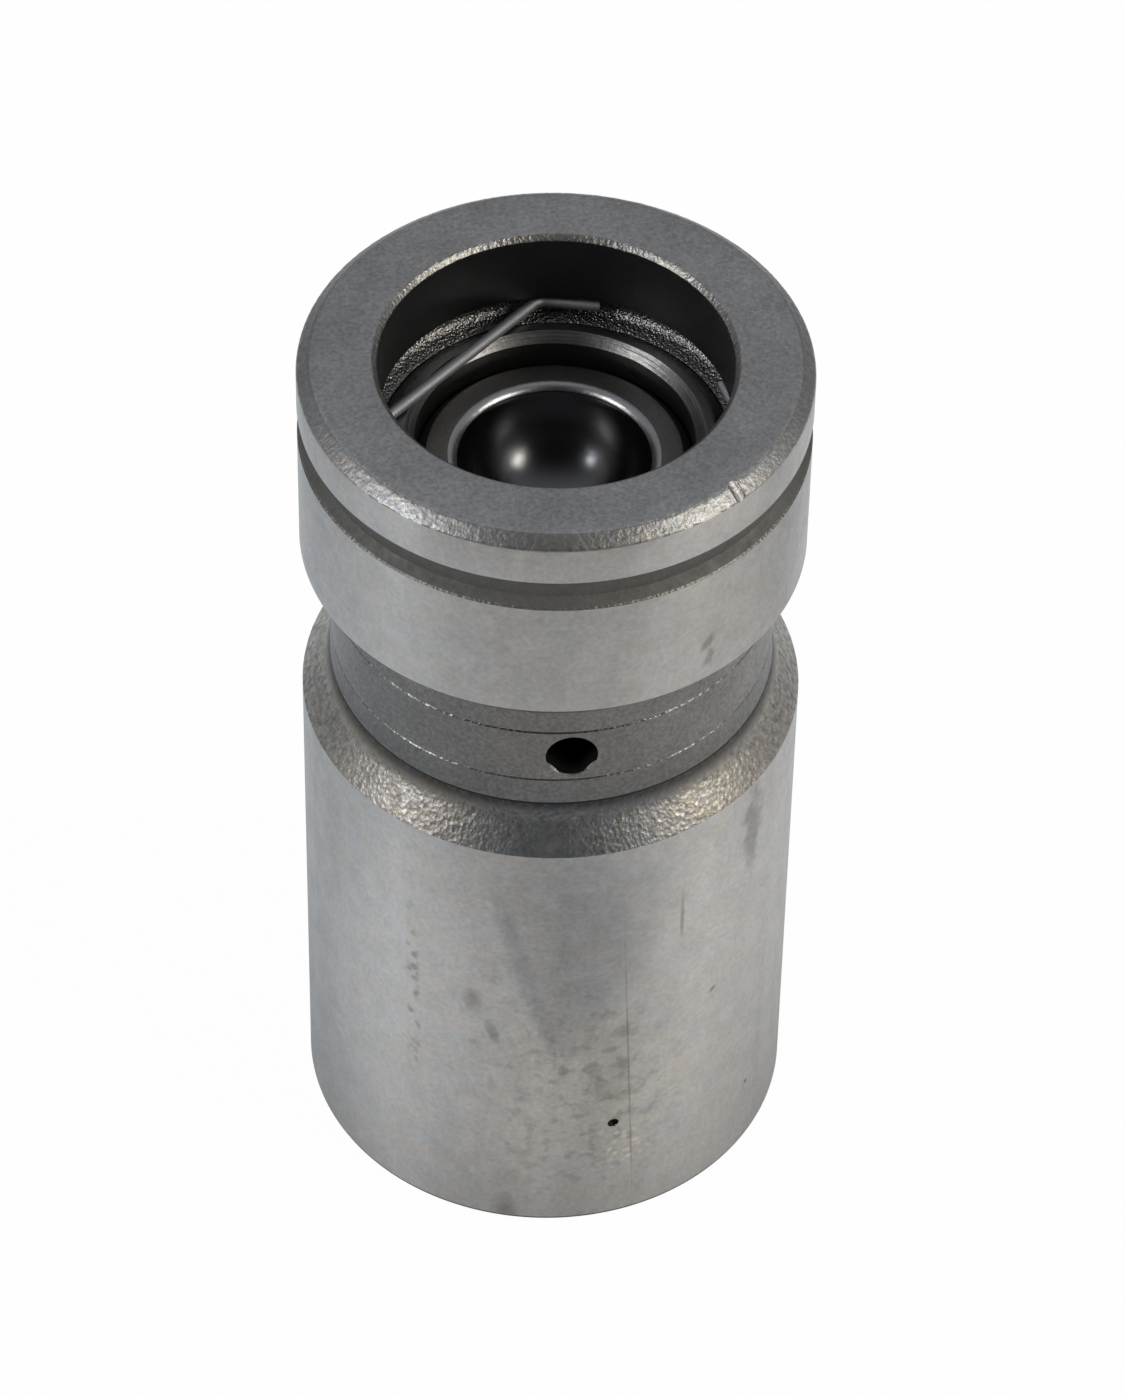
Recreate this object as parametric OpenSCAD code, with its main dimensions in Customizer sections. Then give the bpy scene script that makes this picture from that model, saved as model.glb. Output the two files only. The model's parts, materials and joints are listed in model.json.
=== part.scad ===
// Hydraulic valve lifter with a flat foot: a ground body, and a sprung plunger with its check valve.
// The foot stands on z = 0 and the axis of the bore is +Z. The oil hole in the neck faces -Y.

/* [Body] */
// Diameter of the two ground guide lands
body_d = 21.4; // [20:0.1:24]
// Length from the foot to the top face
body_len = 43; // [41:0.5:50]
// Distance from the top face to the lower edge of the upper land
upper_len = 9.8; // [9:0.1:11]
// Distance between the edges of the two lands
neck_len = 8.95; // [8:0.05:10.5]
// Diameter of the neck at its straight band
neck_d = 18.84; // [18.4:0.02:19.4]
// Height of the straight band round the oil hole
neck_band_h = 2.85; // [2.4:0.05:3.5]
// Height of the band's lower line above the edge of the lower land
neck_band_rise = 3.45; // [2.9:0.05:3.9]
// Radial flare of the neck from the band to its corners
neck_flare = 0.08; // [0.02:0.01:0.2]
// Height of the rough cone above the lower land
shoulder_h = 1.45; // [1:0.05:1.8]
// Height of the hollow between the cone and the neck
shoulder_hollow_h = 0.65; // [0.3:0.05:0.9]
// Radial width of the hollow
shoulder_hollow_w = 0.15; // [0.05:0.01:0.3]
// Height of the sloped underside of the upper land
upper_flank_h = 1.3; // [0.8:0.05:1.5]
// Radial width of the chamfer at the top face
top_chamfer_w = 0.6; // [0.2:0.05:1]
// Height of the chamfer at the top face
top_chamfer_h = 0.5; // [0.2:0.05:1]
// Edge break at the foot
foot_edge = 0.25; // [0.1:0.05:0.6]
// Diameter of the oil hole in the neck
oil_hole_d = 2.2; // [1.5:0.1:2.6]

/* [Tool groove] */
// Distance from the top face to the groove
tool_groove_drop = 2.35; // [1.5:0.05:3]
// Width of the groove at the ground surface
tool_groove_w = 1.53; // [1:0.01:2]
// Depth of the groove
tool_groove_depth = 0.45; // [0.2:0.05:0.8]
// Height of the slope on the groove's lower flank
tool_groove_slope = 0.4; // [0.1:0.05:0.8]

/* [Bore] */
// Diameter of the plunger bore
bore_d = 14.72; // [14.3:0.02:15.4]
// Chamfer at the mouth of the bore
bore_chamfer = 0.26; // [0.1:0.02:0.5]
// Thickness of the foot under the spring pocket
foot_t = 5.5; // [4:0.1:8]
// Radial width of the step that stops the plunger
stop_ledge = 1.15; // [0.8:0.05:1.5]
// Gap left between plunger and step at full travel
stop_gap = 0.1; // [0.05:0.05:0.3]

/* [Retaining clip] */
// Diameter of the clip wire
clip_wire_d = 0.5; // [0.4:0.05:0.7]
// Distance from the top face to the middle of the wire
clip_drop = 4; // [3.8:0.1:5]
// Depth of the clip groove
clip_groove_depth = 0.79; // [0.6:0.01:1]
// Axial play of the wire in its groove
clip_play = 0.65; // [0.2:0.05:0.8]
// Radial clearance between the clip's corners and the groove
clip_clearance = 0.06; // [0.02:0.02:0.2]
// Centreline radius of the clip's bends
clip_bend_r = 0.7; // [0.4:0.05:1.2]
// Angle that the back tab runs along the groove
clip_back_tab_deg = 19.4; // [10:0.2:25]
// Radial step from the back tab's corner in to its end
clip_back_tab_inset = 0.13; // [0:0.01:0.3]
// Angle that the side tab runs along the groove
clip_side_tab_deg = 16.2; // [10:0.2:25]
// Radial step from the side tab's corner in to its end
clip_side_tab_inset = 0.3; // [0:0.01:0.4]
// Gap between the wire and the plunger at rest
clip_gap = 0.05; // [0.02:0.01:0.2]

/* [Plunger] */
// Radial running clearance of the plunger in its bore
plunger_clearance = 0.03; // [0.01:0.01:0.08]
// Distance that the plunger travels down
plunger_travel = 4.2; // [3:0.1:4.6]
// Wall of the plunger round the pushrod seat
rim_wall = 1.46; // [1.2:0.02:1.7]
// Radial width of the bevel outside the rim
rim_bevel_w = 0.64; // [0.2:0.02:0.7]
// Height of the bevel outside the rim
rim_bevel_h = 0.6; // [0.2:0.05:1]
// Chamfer inside the rim
rim_chamfer = 0.4; // [0.1:0.02:0.45]
// Width of the ledge that carries the pushrod seat
seat_ledge = 0.97; // [0.6:0.01:1.1]
// Width of the ledge that carries the metering disc
disc_ledge = 0.6; // [0.4:0.05:0.9]
// Thickness of the web over the check ball
web_t = 2.5; // [1.5:0.1:4]
// Wall of the skirt round the ball retainer
skirt_wall = 1.73; // [1.5:0.01:2]
// Height of the skirt below the web
skirt_h = 1; // [0.6:0.05:1.5]
// Edge break at the lower end of the skirt
skirt_edge = 0.3; // [0.1:0.05:0.5]
// Depth of the oil waist
waist_depth = 0.45; // [0.2:0.05:0.7]
// Margin of the waist above and below the oil hole
waist_margin = 0.3; // [0.1:0.05:0.6]
// Diameter of the oil hole in the waist
plunger_hole_d = 2; // [1:0.1:2.2]

/* [Pushrod seat] */
// Drop of the seat below the rim
seat_drop = 1.2; // [0.8:0.05:2]
// Height of the seat
seat_h = 5.5; // [4.6:0.1:5.8]
// Radial clearance of the seat in the plunger
seat_clearance = 0.05; // [0.01:0.01:0.1]
// Chamfer round the top of the seat
seat_chamfer = 0.44; // [0.2:0.02:0.5]
// Diameter of the ball bowl
bowl_d = 8.2; // [7:0.1:8.8]
// Height of the bowl's centre above the seat
bowl_rise = 0.47; // [0.2:0.01:0.8]
// Radius of the rounded lip of the bowl
lip_r = 0.36; // [0.1:0.02:0.5]
// Diameter of the oil hole in the bowl
seat_hole_d = 1.5; // [0.8:0.1:2]
// Width of the metering slot under the seat
slot_w = 0.8; // [0.4:0.1:1.2]
// Depth of the metering slot under the seat
slot_depth = 0.25; // [0.1:0.05:0.5]

/* [Metering disc] */
// Thickness of the disc
disc_t = 0.4; // [0.3:0.05:0.6]
// Distance that the disc can rise
disc_lift = 0.3; // [0.2:0.05:0.5]
// Radial clearance of the disc in its pocket
disc_clearance = 0.1; // [0.05:0.01:0.2]
// Gap under the resting disc
disc_gap = 0.02; // [0.01:0.01:0.05]
// Diameter of the hole in the disc
disc_hole_d = 0.6; // [0.4:0.05:1]

/* [Check valve] */
// Diameter of the check ball
ball_d = 4; // [3.6:0.1:4.6]
// Radial width of the conical ball seat
ball_seat_w = 0.45; // [0.3:0.05:0.7]
// Gap between the ball and its seat at rest
ball_gap = 0.02; // [0.01:0.01:0.05]
// Distance that the ball can drop
ball_lift = 0.45; // [0.2:0.05:0.5]
// Clearance round the ball in its cage
cage_play = 0.5; // [0.3:0.05:0.7]
// Sheet thickness of the cage
cage_t = 0.4; // [0.3:0.05:0.5]
// Radial clearance of the cage's flange in the skirt
cage_clearance = 0.05; // [0.02:0.01:0.1]
// Diameter of the oil hole in the cage floor
cage_hole_d = 1.6; // [1:0.1:2]
// Width of each oil window in the cage wall
cage_window_w = 1.6; // [1:0.1:2]
// Number of oil windows in the cage wall
cage_windows = 3; // [2:1:4]
// Distance of the windows from the flange and the floor
cage_window_margin = 0.5; // [0.3:0.05:0.8]
// Room left between the turns of the ball spring with the ball fully down
ball_spring_reserve = 0.35; // [0.2:0.05:0.6]
// Coil diameter of the ball spring, to the middle of its wire
ball_spring_d = 2.4; // [1.8:0.1:2.8]
// Wire diameter of the ball spring
ball_wire_d = 0.25; // [0.15:0.01:0.28]
// Turns of the ball spring
ball_turns = 3.5; // [2.5:0.25:4]

/* [Plunger spring] */
// Height of the spring between the foot and the cage at rest
spring_len = 11.1; // [10:0.1:12.5]
// Wire diameter of the spring
spring_wire_d = 0.9; // [0.7:0.05:1]
// Radial clearance of the spring in the skirt
spring_clearance = 0.3; // [0.1:0.05:0.6]
// Turns of the spring, with its closed ends
spring_turns = 6; // [5:0.25:6.5]
// Turns that lie closed at each end
spring_closed_turns = 1; // [0.75:0.25:1.25]
// Share of the wire diameter left open between closed turns
spring_closed_gap = 0.04; // [0.02:0.01:0.1]
// Gap between the spring and what it bears on
spring_gap = 0.02; // [0.01:0.01:0.05]

/* [Hidden] */
$fn = 96;
// Length by which a cutter passes the face that it opens
past = 1;
// Sides of a wire, rings to a turn of a coil, and steps round a bend
wire_sides = 10;
turn_rings = 24;
bend_steps = 8;

// Body radii and levels
body_r = body_d / 2;
bore_r = bore_d / 2;
neck_r = neck_d / 2;
neck_corner_r = neck_r + neck_flare;
hollow_r = neck_corner_r + shoulder_hollow_w;
lower_land_z = body_len - upper_len - neck_len;
upper_land_z = body_len - upper_len;
cone_top_z = lower_land_z + shoulder_h;
hollow_top_z = cone_top_z + shoulder_hollow_h;
band_low_z = lower_land_z + neck_band_rise;
band_high_z = band_low_z + neck_band_h;
oil_z = (band_low_z + band_high_z) / 2;
flank_low_z = upper_land_z - upper_flank_h;
tool_groove_high_z = body_len - tool_groove_drop;
tool_groove_low_z = tool_groove_high_z - tool_groove_w;
tool_groove_r = body_r - tool_groove_depth;

// Clip groove and wire
clip_z = body_len - clip_drop;
clip_groove_h = clip_wire_d + clip_play;
clip_groove_r = bore_r + clip_groove_depth;
clip_corner_r = clip_groove_r - clip_clearance - clip_wire_d / 2;
clip_square_r = clip_corner_r + clip_bend_r * (sqrt(2) - 1);

// Spring stack, from the foot up
spring_top_z = foot_t + spring_len;
web_z = spring_top_z + cage_t;
plunger_z = web_z - skirt_h;
stop_z = plunger_z - plunger_travel - stop_gap;

// Plunger and seat, from the clip down
plunger_r = bore_r - plunger_clearance;
plunger_top_z = clip_z - clip_wire_d / 2 - clip_gap;
seat_pocket_r = plunger_r - rim_wall;
seat_r = seat_pocket_r - seat_clearance;
seat_top_z = plunger_top_z - seat_drop;
seat_z = seat_top_z - seat_h;
disc_pocket_r = seat_pocket_r - seat_ledge;
disc_pocket_z = seat_z - disc_gap - disc_t - disc_lift - disc_gap;
disc_r = disc_pocket_r - disc_clearance;
disc_z = disc_pocket_z + disc_gap;
reservoir_r = disc_pocket_r - disc_ledge;
reservoir_z = web_z + web_t;
skirt_r = plunger_r - skirt_wall;
waist_r = plunger_r - waist_depth;
waist_low_z = oil_z - oil_hole_d / 2 - waist_margin;
waist_high_z = oil_z + oil_hole_d / 2 + plunger_travel + waist_margin;

// Bowl of the seat, with the lip tangent to the sphere and to the top
bowl_r = bowl_d / 2;
bowl_z = seat_top_z + bowl_rise;
lip_outer_r = sqrt(pow(bowl_r + lip_r, 2) - pow(bowl_rise + lip_r, 2));
lip_z = seat_top_z - lip_r;

// Ball on a 45 degree seat
ball_r = ball_d / 2;
ball_seat_r = ball_r * sin(45);
ball_seat_mouth_r = ball_seat_r + ball_seat_w / 2;
feed_hole_r = ball_seat_r - ball_seat_w / 2;
ball_z = web_z + ball_seat_mouth_r - ball_r * sqrt(2) - ball_gap;
cage_in_r = ball_r + cage_play;
cage_out_r = cage_in_r + cage_t;
cage_flange_r = skirt_r - cage_clearance;
ball_coil_r = ball_spring_d / 2;
ball_reach = ball_r + ball_wire_d / 2 + ball_gap;
ball_coil_high_z = ball_z - sqrt(pow(ball_reach, 2) - pow(ball_coil_r, 2));
ball_coil_low_z = ball_coil_high_z - ball_turns * ball_wire_d - ball_lift - ball_spring_reserve;
cage_floor_z = ball_coil_low_z - ball_wire_d / 2 - ball_gap;
cage_z = cage_floor_z - cage_t;

// Plunger spring
spring_coil_r = skirt_r - spring_clearance - spring_wire_d / 2;
spring_low_z = foot_t + spring_wire_d / 2 + spring_gap;
spring_high_z = spring_top_z - spring_wire_d / 2 - spring_gap;
spring_closed_rise = spring_wire_d * (1 + spring_closed_gap) * spring_closed_turns;

// Direction from one plan point to the next, in degrees
function heading(from, to) = atan2(to[1] - from[1], to[0] - from[0]);

// Plan point at a radius and an angle
function polar(r, deg) = [r * cos(deg), r * sin(deg)];

// Left turn of a path at one of its inner points, in degrees
function left_turn(path, i) =
    (heading(path[i], path[i + 1]) - heading(path[i - 1], path[i]) + 360) % 360;

// Stops [x, y, heading] along the round bend at an inner point of a path
function bend_stops(path, i, bend_r) =
    let (
        turn = left_turn(path, i),
        first = heading(path[i - 1], path[i]),
        start = path[i] - polar(bend_r * tan(turn / 2), first),
        centre = start + polar(bend_r, first + 90)
    )
    [
        for (step = [0 : bend_steps])
            let (deg = first + turn * step / bend_steps, at = centre + polar(bend_r, deg - 90))
            [at[0], at[1], deg]
    ];

// Stops [x, y, heading] along a plan path whose bends all turn left
function path_stops(path, bend_r) =
    let (last = len(path) - 1)
    concat(
        [[path[0][0], path[0][1], heading(path[0], path[1])]],
        [for (i = [1 : last - 1]) each bend_stops(path, i, bend_r)],
        [[path[last][0], path[last][1], heading(path[last - 1], path[last])]]
    );

// Ring of points round a wire, upright on a plan direction that points out of the curve
function wire_ring(x, y, z, out_deg, wire_d) = [
    for (side = [0 : wire_sides - 1])
        let (
            around = 360 * side / wire_sides,
            out = polar(wire_d / 2 * cos(around), out_deg)
        )
        [x + out[0], y + out[1], z + wire_d / 2 * sin(around)]
];

// Solid wire through a list of rings
module wire(rings) {
    last = len(rings) - 1;
    walls = [
        for (ring = [0 : last - 1], side = [0 : wire_sides - 1])
            let (
                a = ring * wire_sides + side,
                b = ring * wire_sides + (side + 1) % wire_sides
            )
            [a, b, b + wire_sides, a + wire_sides]
    ];
    start_cap = [for (side = [wire_sides - 1 : -1 : 0]) side];
    end_cap = [for (side = [0 : wire_sides - 1]) last * wire_sides + side];
    polyhedron(points = [for (ring = rings) each ring], faces = concat([start_cap], walls, [end_cap]));
}

// Coil whose height is given by a list of [turn, z] stops
module coil(coil_r, wire_d, stops) {
    turns = stops[len(stops) - 1][0];
    last = ceil(turns * turn_rings);
    wire([
        for (ring = [0 : last])
            let (turn = turns * ring / last, deg = 360 * turn, at = polar(coil_r, deg))
            wire_ring(at[0], at[1], lookup(turn, stops), deg, wire_d)
    ]);
}

// Outside of the body: foot, lower land, shoulder, neck, upper land, tool groove and top chamfer
module body_outside() {
    rotate_extrude()
        polygon([
            [0, 0],
            [body_r - foot_edge, 0],
            [body_r, foot_edge],
            [body_r, lower_land_z],
            [hollow_r, cone_top_z],
            [neck_corner_r, hollow_top_z],
            [neck_r, band_low_z],
            [neck_r, band_high_z],
            [neck_corner_r, flank_low_z],
            [body_r, upper_land_z],
            [body_r, tool_groove_low_z],
            [tool_groove_r, tool_groove_low_z + tool_groove_slope],
            [tool_groove_r, tool_groove_high_z],
            [body_r, tool_groove_high_z],
            [body_r, body_len - top_chamfer_h],
            [body_r - top_chamfer_w, body_len],
            [0, body_len]
        ]);
}

// Inside of the body: spring pocket, stop, bore, clip groove and chamfered mouth
module body_inside() {
    rotate_extrude()
        polygon([
            [0, foot_t],
            [bore_r - stop_ledge, foot_t],
            [bore_r - stop_ledge, stop_z],
            [bore_r, stop_z],
            [bore_r, clip_z - clip_groove_h / 2],
            [clip_groove_r, clip_z - clip_groove_h / 2],
            [clip_groove_r, clip_z + clip_groove_h / 2],
            [bore_r, clip_z + clip_groove_h / 2],
            [bore_r, body_len - bore_chamfer],
            [bore_r + bore_chamfer + past, body_len + past],
            [0, body_len + past]
        ]);
}

module lifter_body() {
    color("#8c8d8e")
        difference() {
            body_outside();
            body_inside();
            translate([0, 0, oil_z])
                rotate([90, 0, 0])
                    cylinder(h = body_r + past, d = oil_hole_d);
        }
}

module retaining_clip() {
    corners = [for (deg = [180, 270]) polar(clip_square_r, deg)];
    back_tab_r = clip_corner_r - clip_back_tab_inset;
    side_tab_r = clip_corner_r - clip_side_tab_inset;
    path = concat(
        [polar(back_tab_r, 90 - clip_back_tab_deg), polar(clip_corner_r, 90)],
        corners,
        [polar(clip_corner_r, 0), polar(side_tab_r, clip_side_tab_deg)]
    );
    color("#75797e")
        wire([
            for (stop = path_stops(path, clip_bend_r))
                wire_ring(stop[0], stop[1], clip_z, stop[2] - 90, clip_wire_d)
        ]);
}

// Outside of the plunger: skirt, oil waist and bevelled rim
module plunger_outside() {
    rotate_extrude()
        polygon([
            [0, plunger_z],
            [plunger_r - skirt_edge, plunger_z],
            [plunger_r, plunger_z + skirt_edge],
            [plunger_r, waist_low_z],
            [waist_r, waist_low_z + waist_depth],
            [waist_r, waist_high_z - waist_depth],
            [plunger_r, waist_high_z],
            [plunger_r, plunger_top_z - rim_bevel_h],
            [plunger_r - rim_bevel_w, plunger_top_z],
            [0, plunger_top_z]
        ]);
}

// Inside of the plunger: retainer recess, ball seat, feed hole, reservoir and pockets
module plunger_inside() {
    rotate_extrude()
        polygon([
            [0, plunger_z - past],
            [skirt_r, plunger_z - past],
            [skirt_r, web_z],
            [ball_seat_mouth_r, web_z],
            [feed_hole_r, web_z + ball_seat_w],
            [feed_hole_r, reservoir_z],
            [reservoir_r, reservoir_z],
            [reservoir_r, disc_pocket_z],
            [disc_pocket_r, disc_pocket_z],
            [disc_pocket_r, seat_z],
            [seat_pocket_r, seat_z],
            [seat_pocket_r, plunger_top_z - rim_chamfer],
            [seat_pocket_r + rim_chamfer + past, plunger_top_z + past],
            [0, plunger_top_z + past]
        ]);
}

module plunger() {
    color("#77797b")
        difference() {
            plunger_outside();
            plunger_inside();
            translate([0, 0, oil_z])
                rotate([-90, 0, 0])
                    cylinder(h = plunger_r + past, d = plunger_hole_d);
        }
}

// Blank of the seat with its lip rounded over towards the bowl
module seat_blank() {
    rotate_extrude()
        union() {
            polygon([
                [0, seat_z],
                [seat_r, seat_z],
                [seat_r, seat_top_z - seat_chamfer],
                [seat_r - seat_chamfer, seat_top_z],
                [lip_outer_r, seat_top_z],
                [lip_outer_r, lip_z],
                [0, lip_z]
            ]);
            translate([lip_outer_r, lip_z])
                circle(r = lip_r);
        }
}

module pushrod_seat() {
    color("#5d5a57")
        difference() {
            seat_blank();
            translate([0, 0, bowl_z])
                sphere(r = bowl_r);
            translate([0, 0, seat_z - past])
                cylinder(h = seat_h, d = seat_hole_d);
            translate([-seat_r - past, -slot_w / 2, seat_z - past])
                cube([2 * (seat_r + past), slot_w, past + slot_depth]);
        }
}

module metering_disc() {
    color("#9a9b9c")
        translate([0, 0, disc_z])
            difference() {
                cylinder(h = disc_t, r = disc_r);
                translate([0, 0, -past])
                    cylinder(h = disc_t + 2 * past, d = disc_hole_d);
            }
}

module check_ball() {
    color("#c8cacc")
        translate([0, 0, ball_z])
            sphere(r = ball_r);
}

module check_ball_spring() {
    color("#a8a49c")
        coil(ball_coil_r, ball_wire_d, [[0, ball_coil_low_z], [ball_turns, ball_coil_high_z]]);
}

module ball_retainer() {
    window_z = cage_floor_z + cage_window_margin;
    window_h = spring_top_z - cage_window_margin - window_z;
    color("#8f8f8a")
        difference() {
            rotate_extrude()
                polygon([
                    [cage_hole_d / 2, cage_z],
                    [cage_out_r, cage_z],
                    [cage_out_r, spring_top_z],
                    [cage_flange_r, spring_top_z],
                    [cage_flange_r, web_z],
                    [cage_in_r, web_z],
                    [cage_in_r, cage_floor_z],
                    [cage_hole_d / 2, cage_floor_z]
                ]);
            for (i = [0 : cage_windows - 1])
                rotate([0, 0, 360 * i / cage_windows])
                    translate([0, -cage_window_w / 2, window_z])
                        cube([cage_out_r + past, cage_window_w, window_h]);
        }
}

module plunger_spring() {
    color("#7d7a74")
        coil(spring_coil_r, spring_wire_d, [
            [0, spring_low_z],
            [spring_closed_turns, spring_low_z + spring_closed_rise],
            [spring_turns - spring_closed_turns, spring_high_z - spring_closed_rise],
            [spring_turns, spring_high_z]
        ]);
}

lifter_body();
retaining_clip();
plunger();
pushrod_seat();
metering_disc();
check_ball();
check_ball_spring();
ball_retainer();
plunger_spring();
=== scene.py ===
"""Looks of a hydraulic valve lifter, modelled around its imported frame.

Sizes are in millimetres and angles in degrees. Unless a field says otherwise, an angle round the axis is
measured from the side of the oil hole, -Y, towards +X.
"""
import json
import logging
import math
from dataclasses import dataclass
from enum import Enum
from typing import Any, Callable, Iterable, Mapping, Optional, Sequence, Union

import bpy
import numpy as np
from mathutils import Matrix, Vector


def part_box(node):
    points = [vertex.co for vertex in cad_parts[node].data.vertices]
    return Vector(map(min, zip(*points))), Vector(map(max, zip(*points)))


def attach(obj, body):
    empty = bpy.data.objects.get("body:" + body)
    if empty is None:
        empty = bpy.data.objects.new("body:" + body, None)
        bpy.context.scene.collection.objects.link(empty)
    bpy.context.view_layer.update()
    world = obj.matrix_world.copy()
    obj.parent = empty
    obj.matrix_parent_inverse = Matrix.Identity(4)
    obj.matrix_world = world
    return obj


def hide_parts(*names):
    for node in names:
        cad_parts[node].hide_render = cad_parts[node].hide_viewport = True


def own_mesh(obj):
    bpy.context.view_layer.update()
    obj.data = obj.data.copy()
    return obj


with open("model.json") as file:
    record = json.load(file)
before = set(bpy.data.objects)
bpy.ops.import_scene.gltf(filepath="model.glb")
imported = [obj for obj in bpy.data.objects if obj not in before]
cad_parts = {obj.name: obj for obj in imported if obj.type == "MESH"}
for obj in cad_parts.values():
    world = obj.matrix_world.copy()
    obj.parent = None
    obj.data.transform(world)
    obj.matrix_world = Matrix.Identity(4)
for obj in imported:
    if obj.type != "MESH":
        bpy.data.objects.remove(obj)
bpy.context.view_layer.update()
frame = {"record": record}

LOG = logging.getLogger("lifter")

# A millimetre in metres, and millimetres in a metre
MM = 0.001
PER_METRE = 1 / MM

# Points nearer than WELD merge, and edges sharper than SMOOTH_DEG stay sharp
WELD = 1e-4 * MM
SMOOTH_DEG = 28

# Fewest chords of a fillet, the length that a chord is near in a larger one, and the sides of a wire
FILLET_STEPS = 3
FILLET_CHORD = 0.1
WIRE_SIDES = 20

# Share of a tool line's width by which its bottom lies above its middle
SCORE_LEAN = 0.3

# Angle at which the camera stands
FRONT = -5.8

# Turn that makes tool marks round the axis smear reflections along it
QUARTER_TURN = 0.25

Point = tuple[float, float]
Colour = tuple[float, float, float]

# Tints that a finish is multiplied by
WHITE: Colour = (1.0, 1.0, 1.0)
WARM: Colour = (1.03, 1.0, 0.95)
COOL: Colour = (0.97, 1.0, 1.04)


class Value:
    """A shader socket that takes part in Python arithmetic."""

    def __init__(self, tree: "ShaderTree", socket: bpy.types.NodeSocket) -> None:
        """Wrap a socket of a tree."""
        self.tree = tree
        self.socket = socket

    def _math(self, operation: str, first: "Term", second: "Term") -> "Value":
        """Add a Math node on two terms."""
        return self.tree.node("ShaderNodeMath", {"operation": operation}, {0: first, 1: second})

    def __add__(self, other: "Term") -> "Value":
        """Sum."""
        return self._math("ADD", self, other)

    def __radd__(self, other: "Term") -> "Value":
        """Sum with a number first."""
        return self._math("ADD", other, self)

    def __sub__(self, other: "Term") -> "Value":
        """Difference."""
        return self._math("SUBTRACT", self, other)

    def __rsub__(self, other: "Term") -> "Value":
        """Difference from a number."""
        return self._math("SUBTRACT", other, self)

    def __mul__(self, other: "Term") -> "Value":
        """Product."""
        return self._math("MULTIPLY", self, other)

    def __rmul__(self, other: "Term") -> "Value":
        """Product with a number first."""
        return self._math("MULTIPLY", other, self)

    def __truediv__(self, other: "Term") -> "Value":
        """Quotient."""
        return self._math("DIVIDE", self, other)

    def __rtruediv__(self, other: "Term") -> "Value":
        """Quotient of a number."""
        return self._math("DIVIDE", other, self)

    def __pow__(self, other: "Term") -> "Value":
        """Power."""
        return self._math("POWER", self, other)

    def __abs__(self) -> "Value":
        """Size without its sign."""
        return self._math("ABSOLUTE", self, 0.0)


Term = Union[Value, float]


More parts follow.
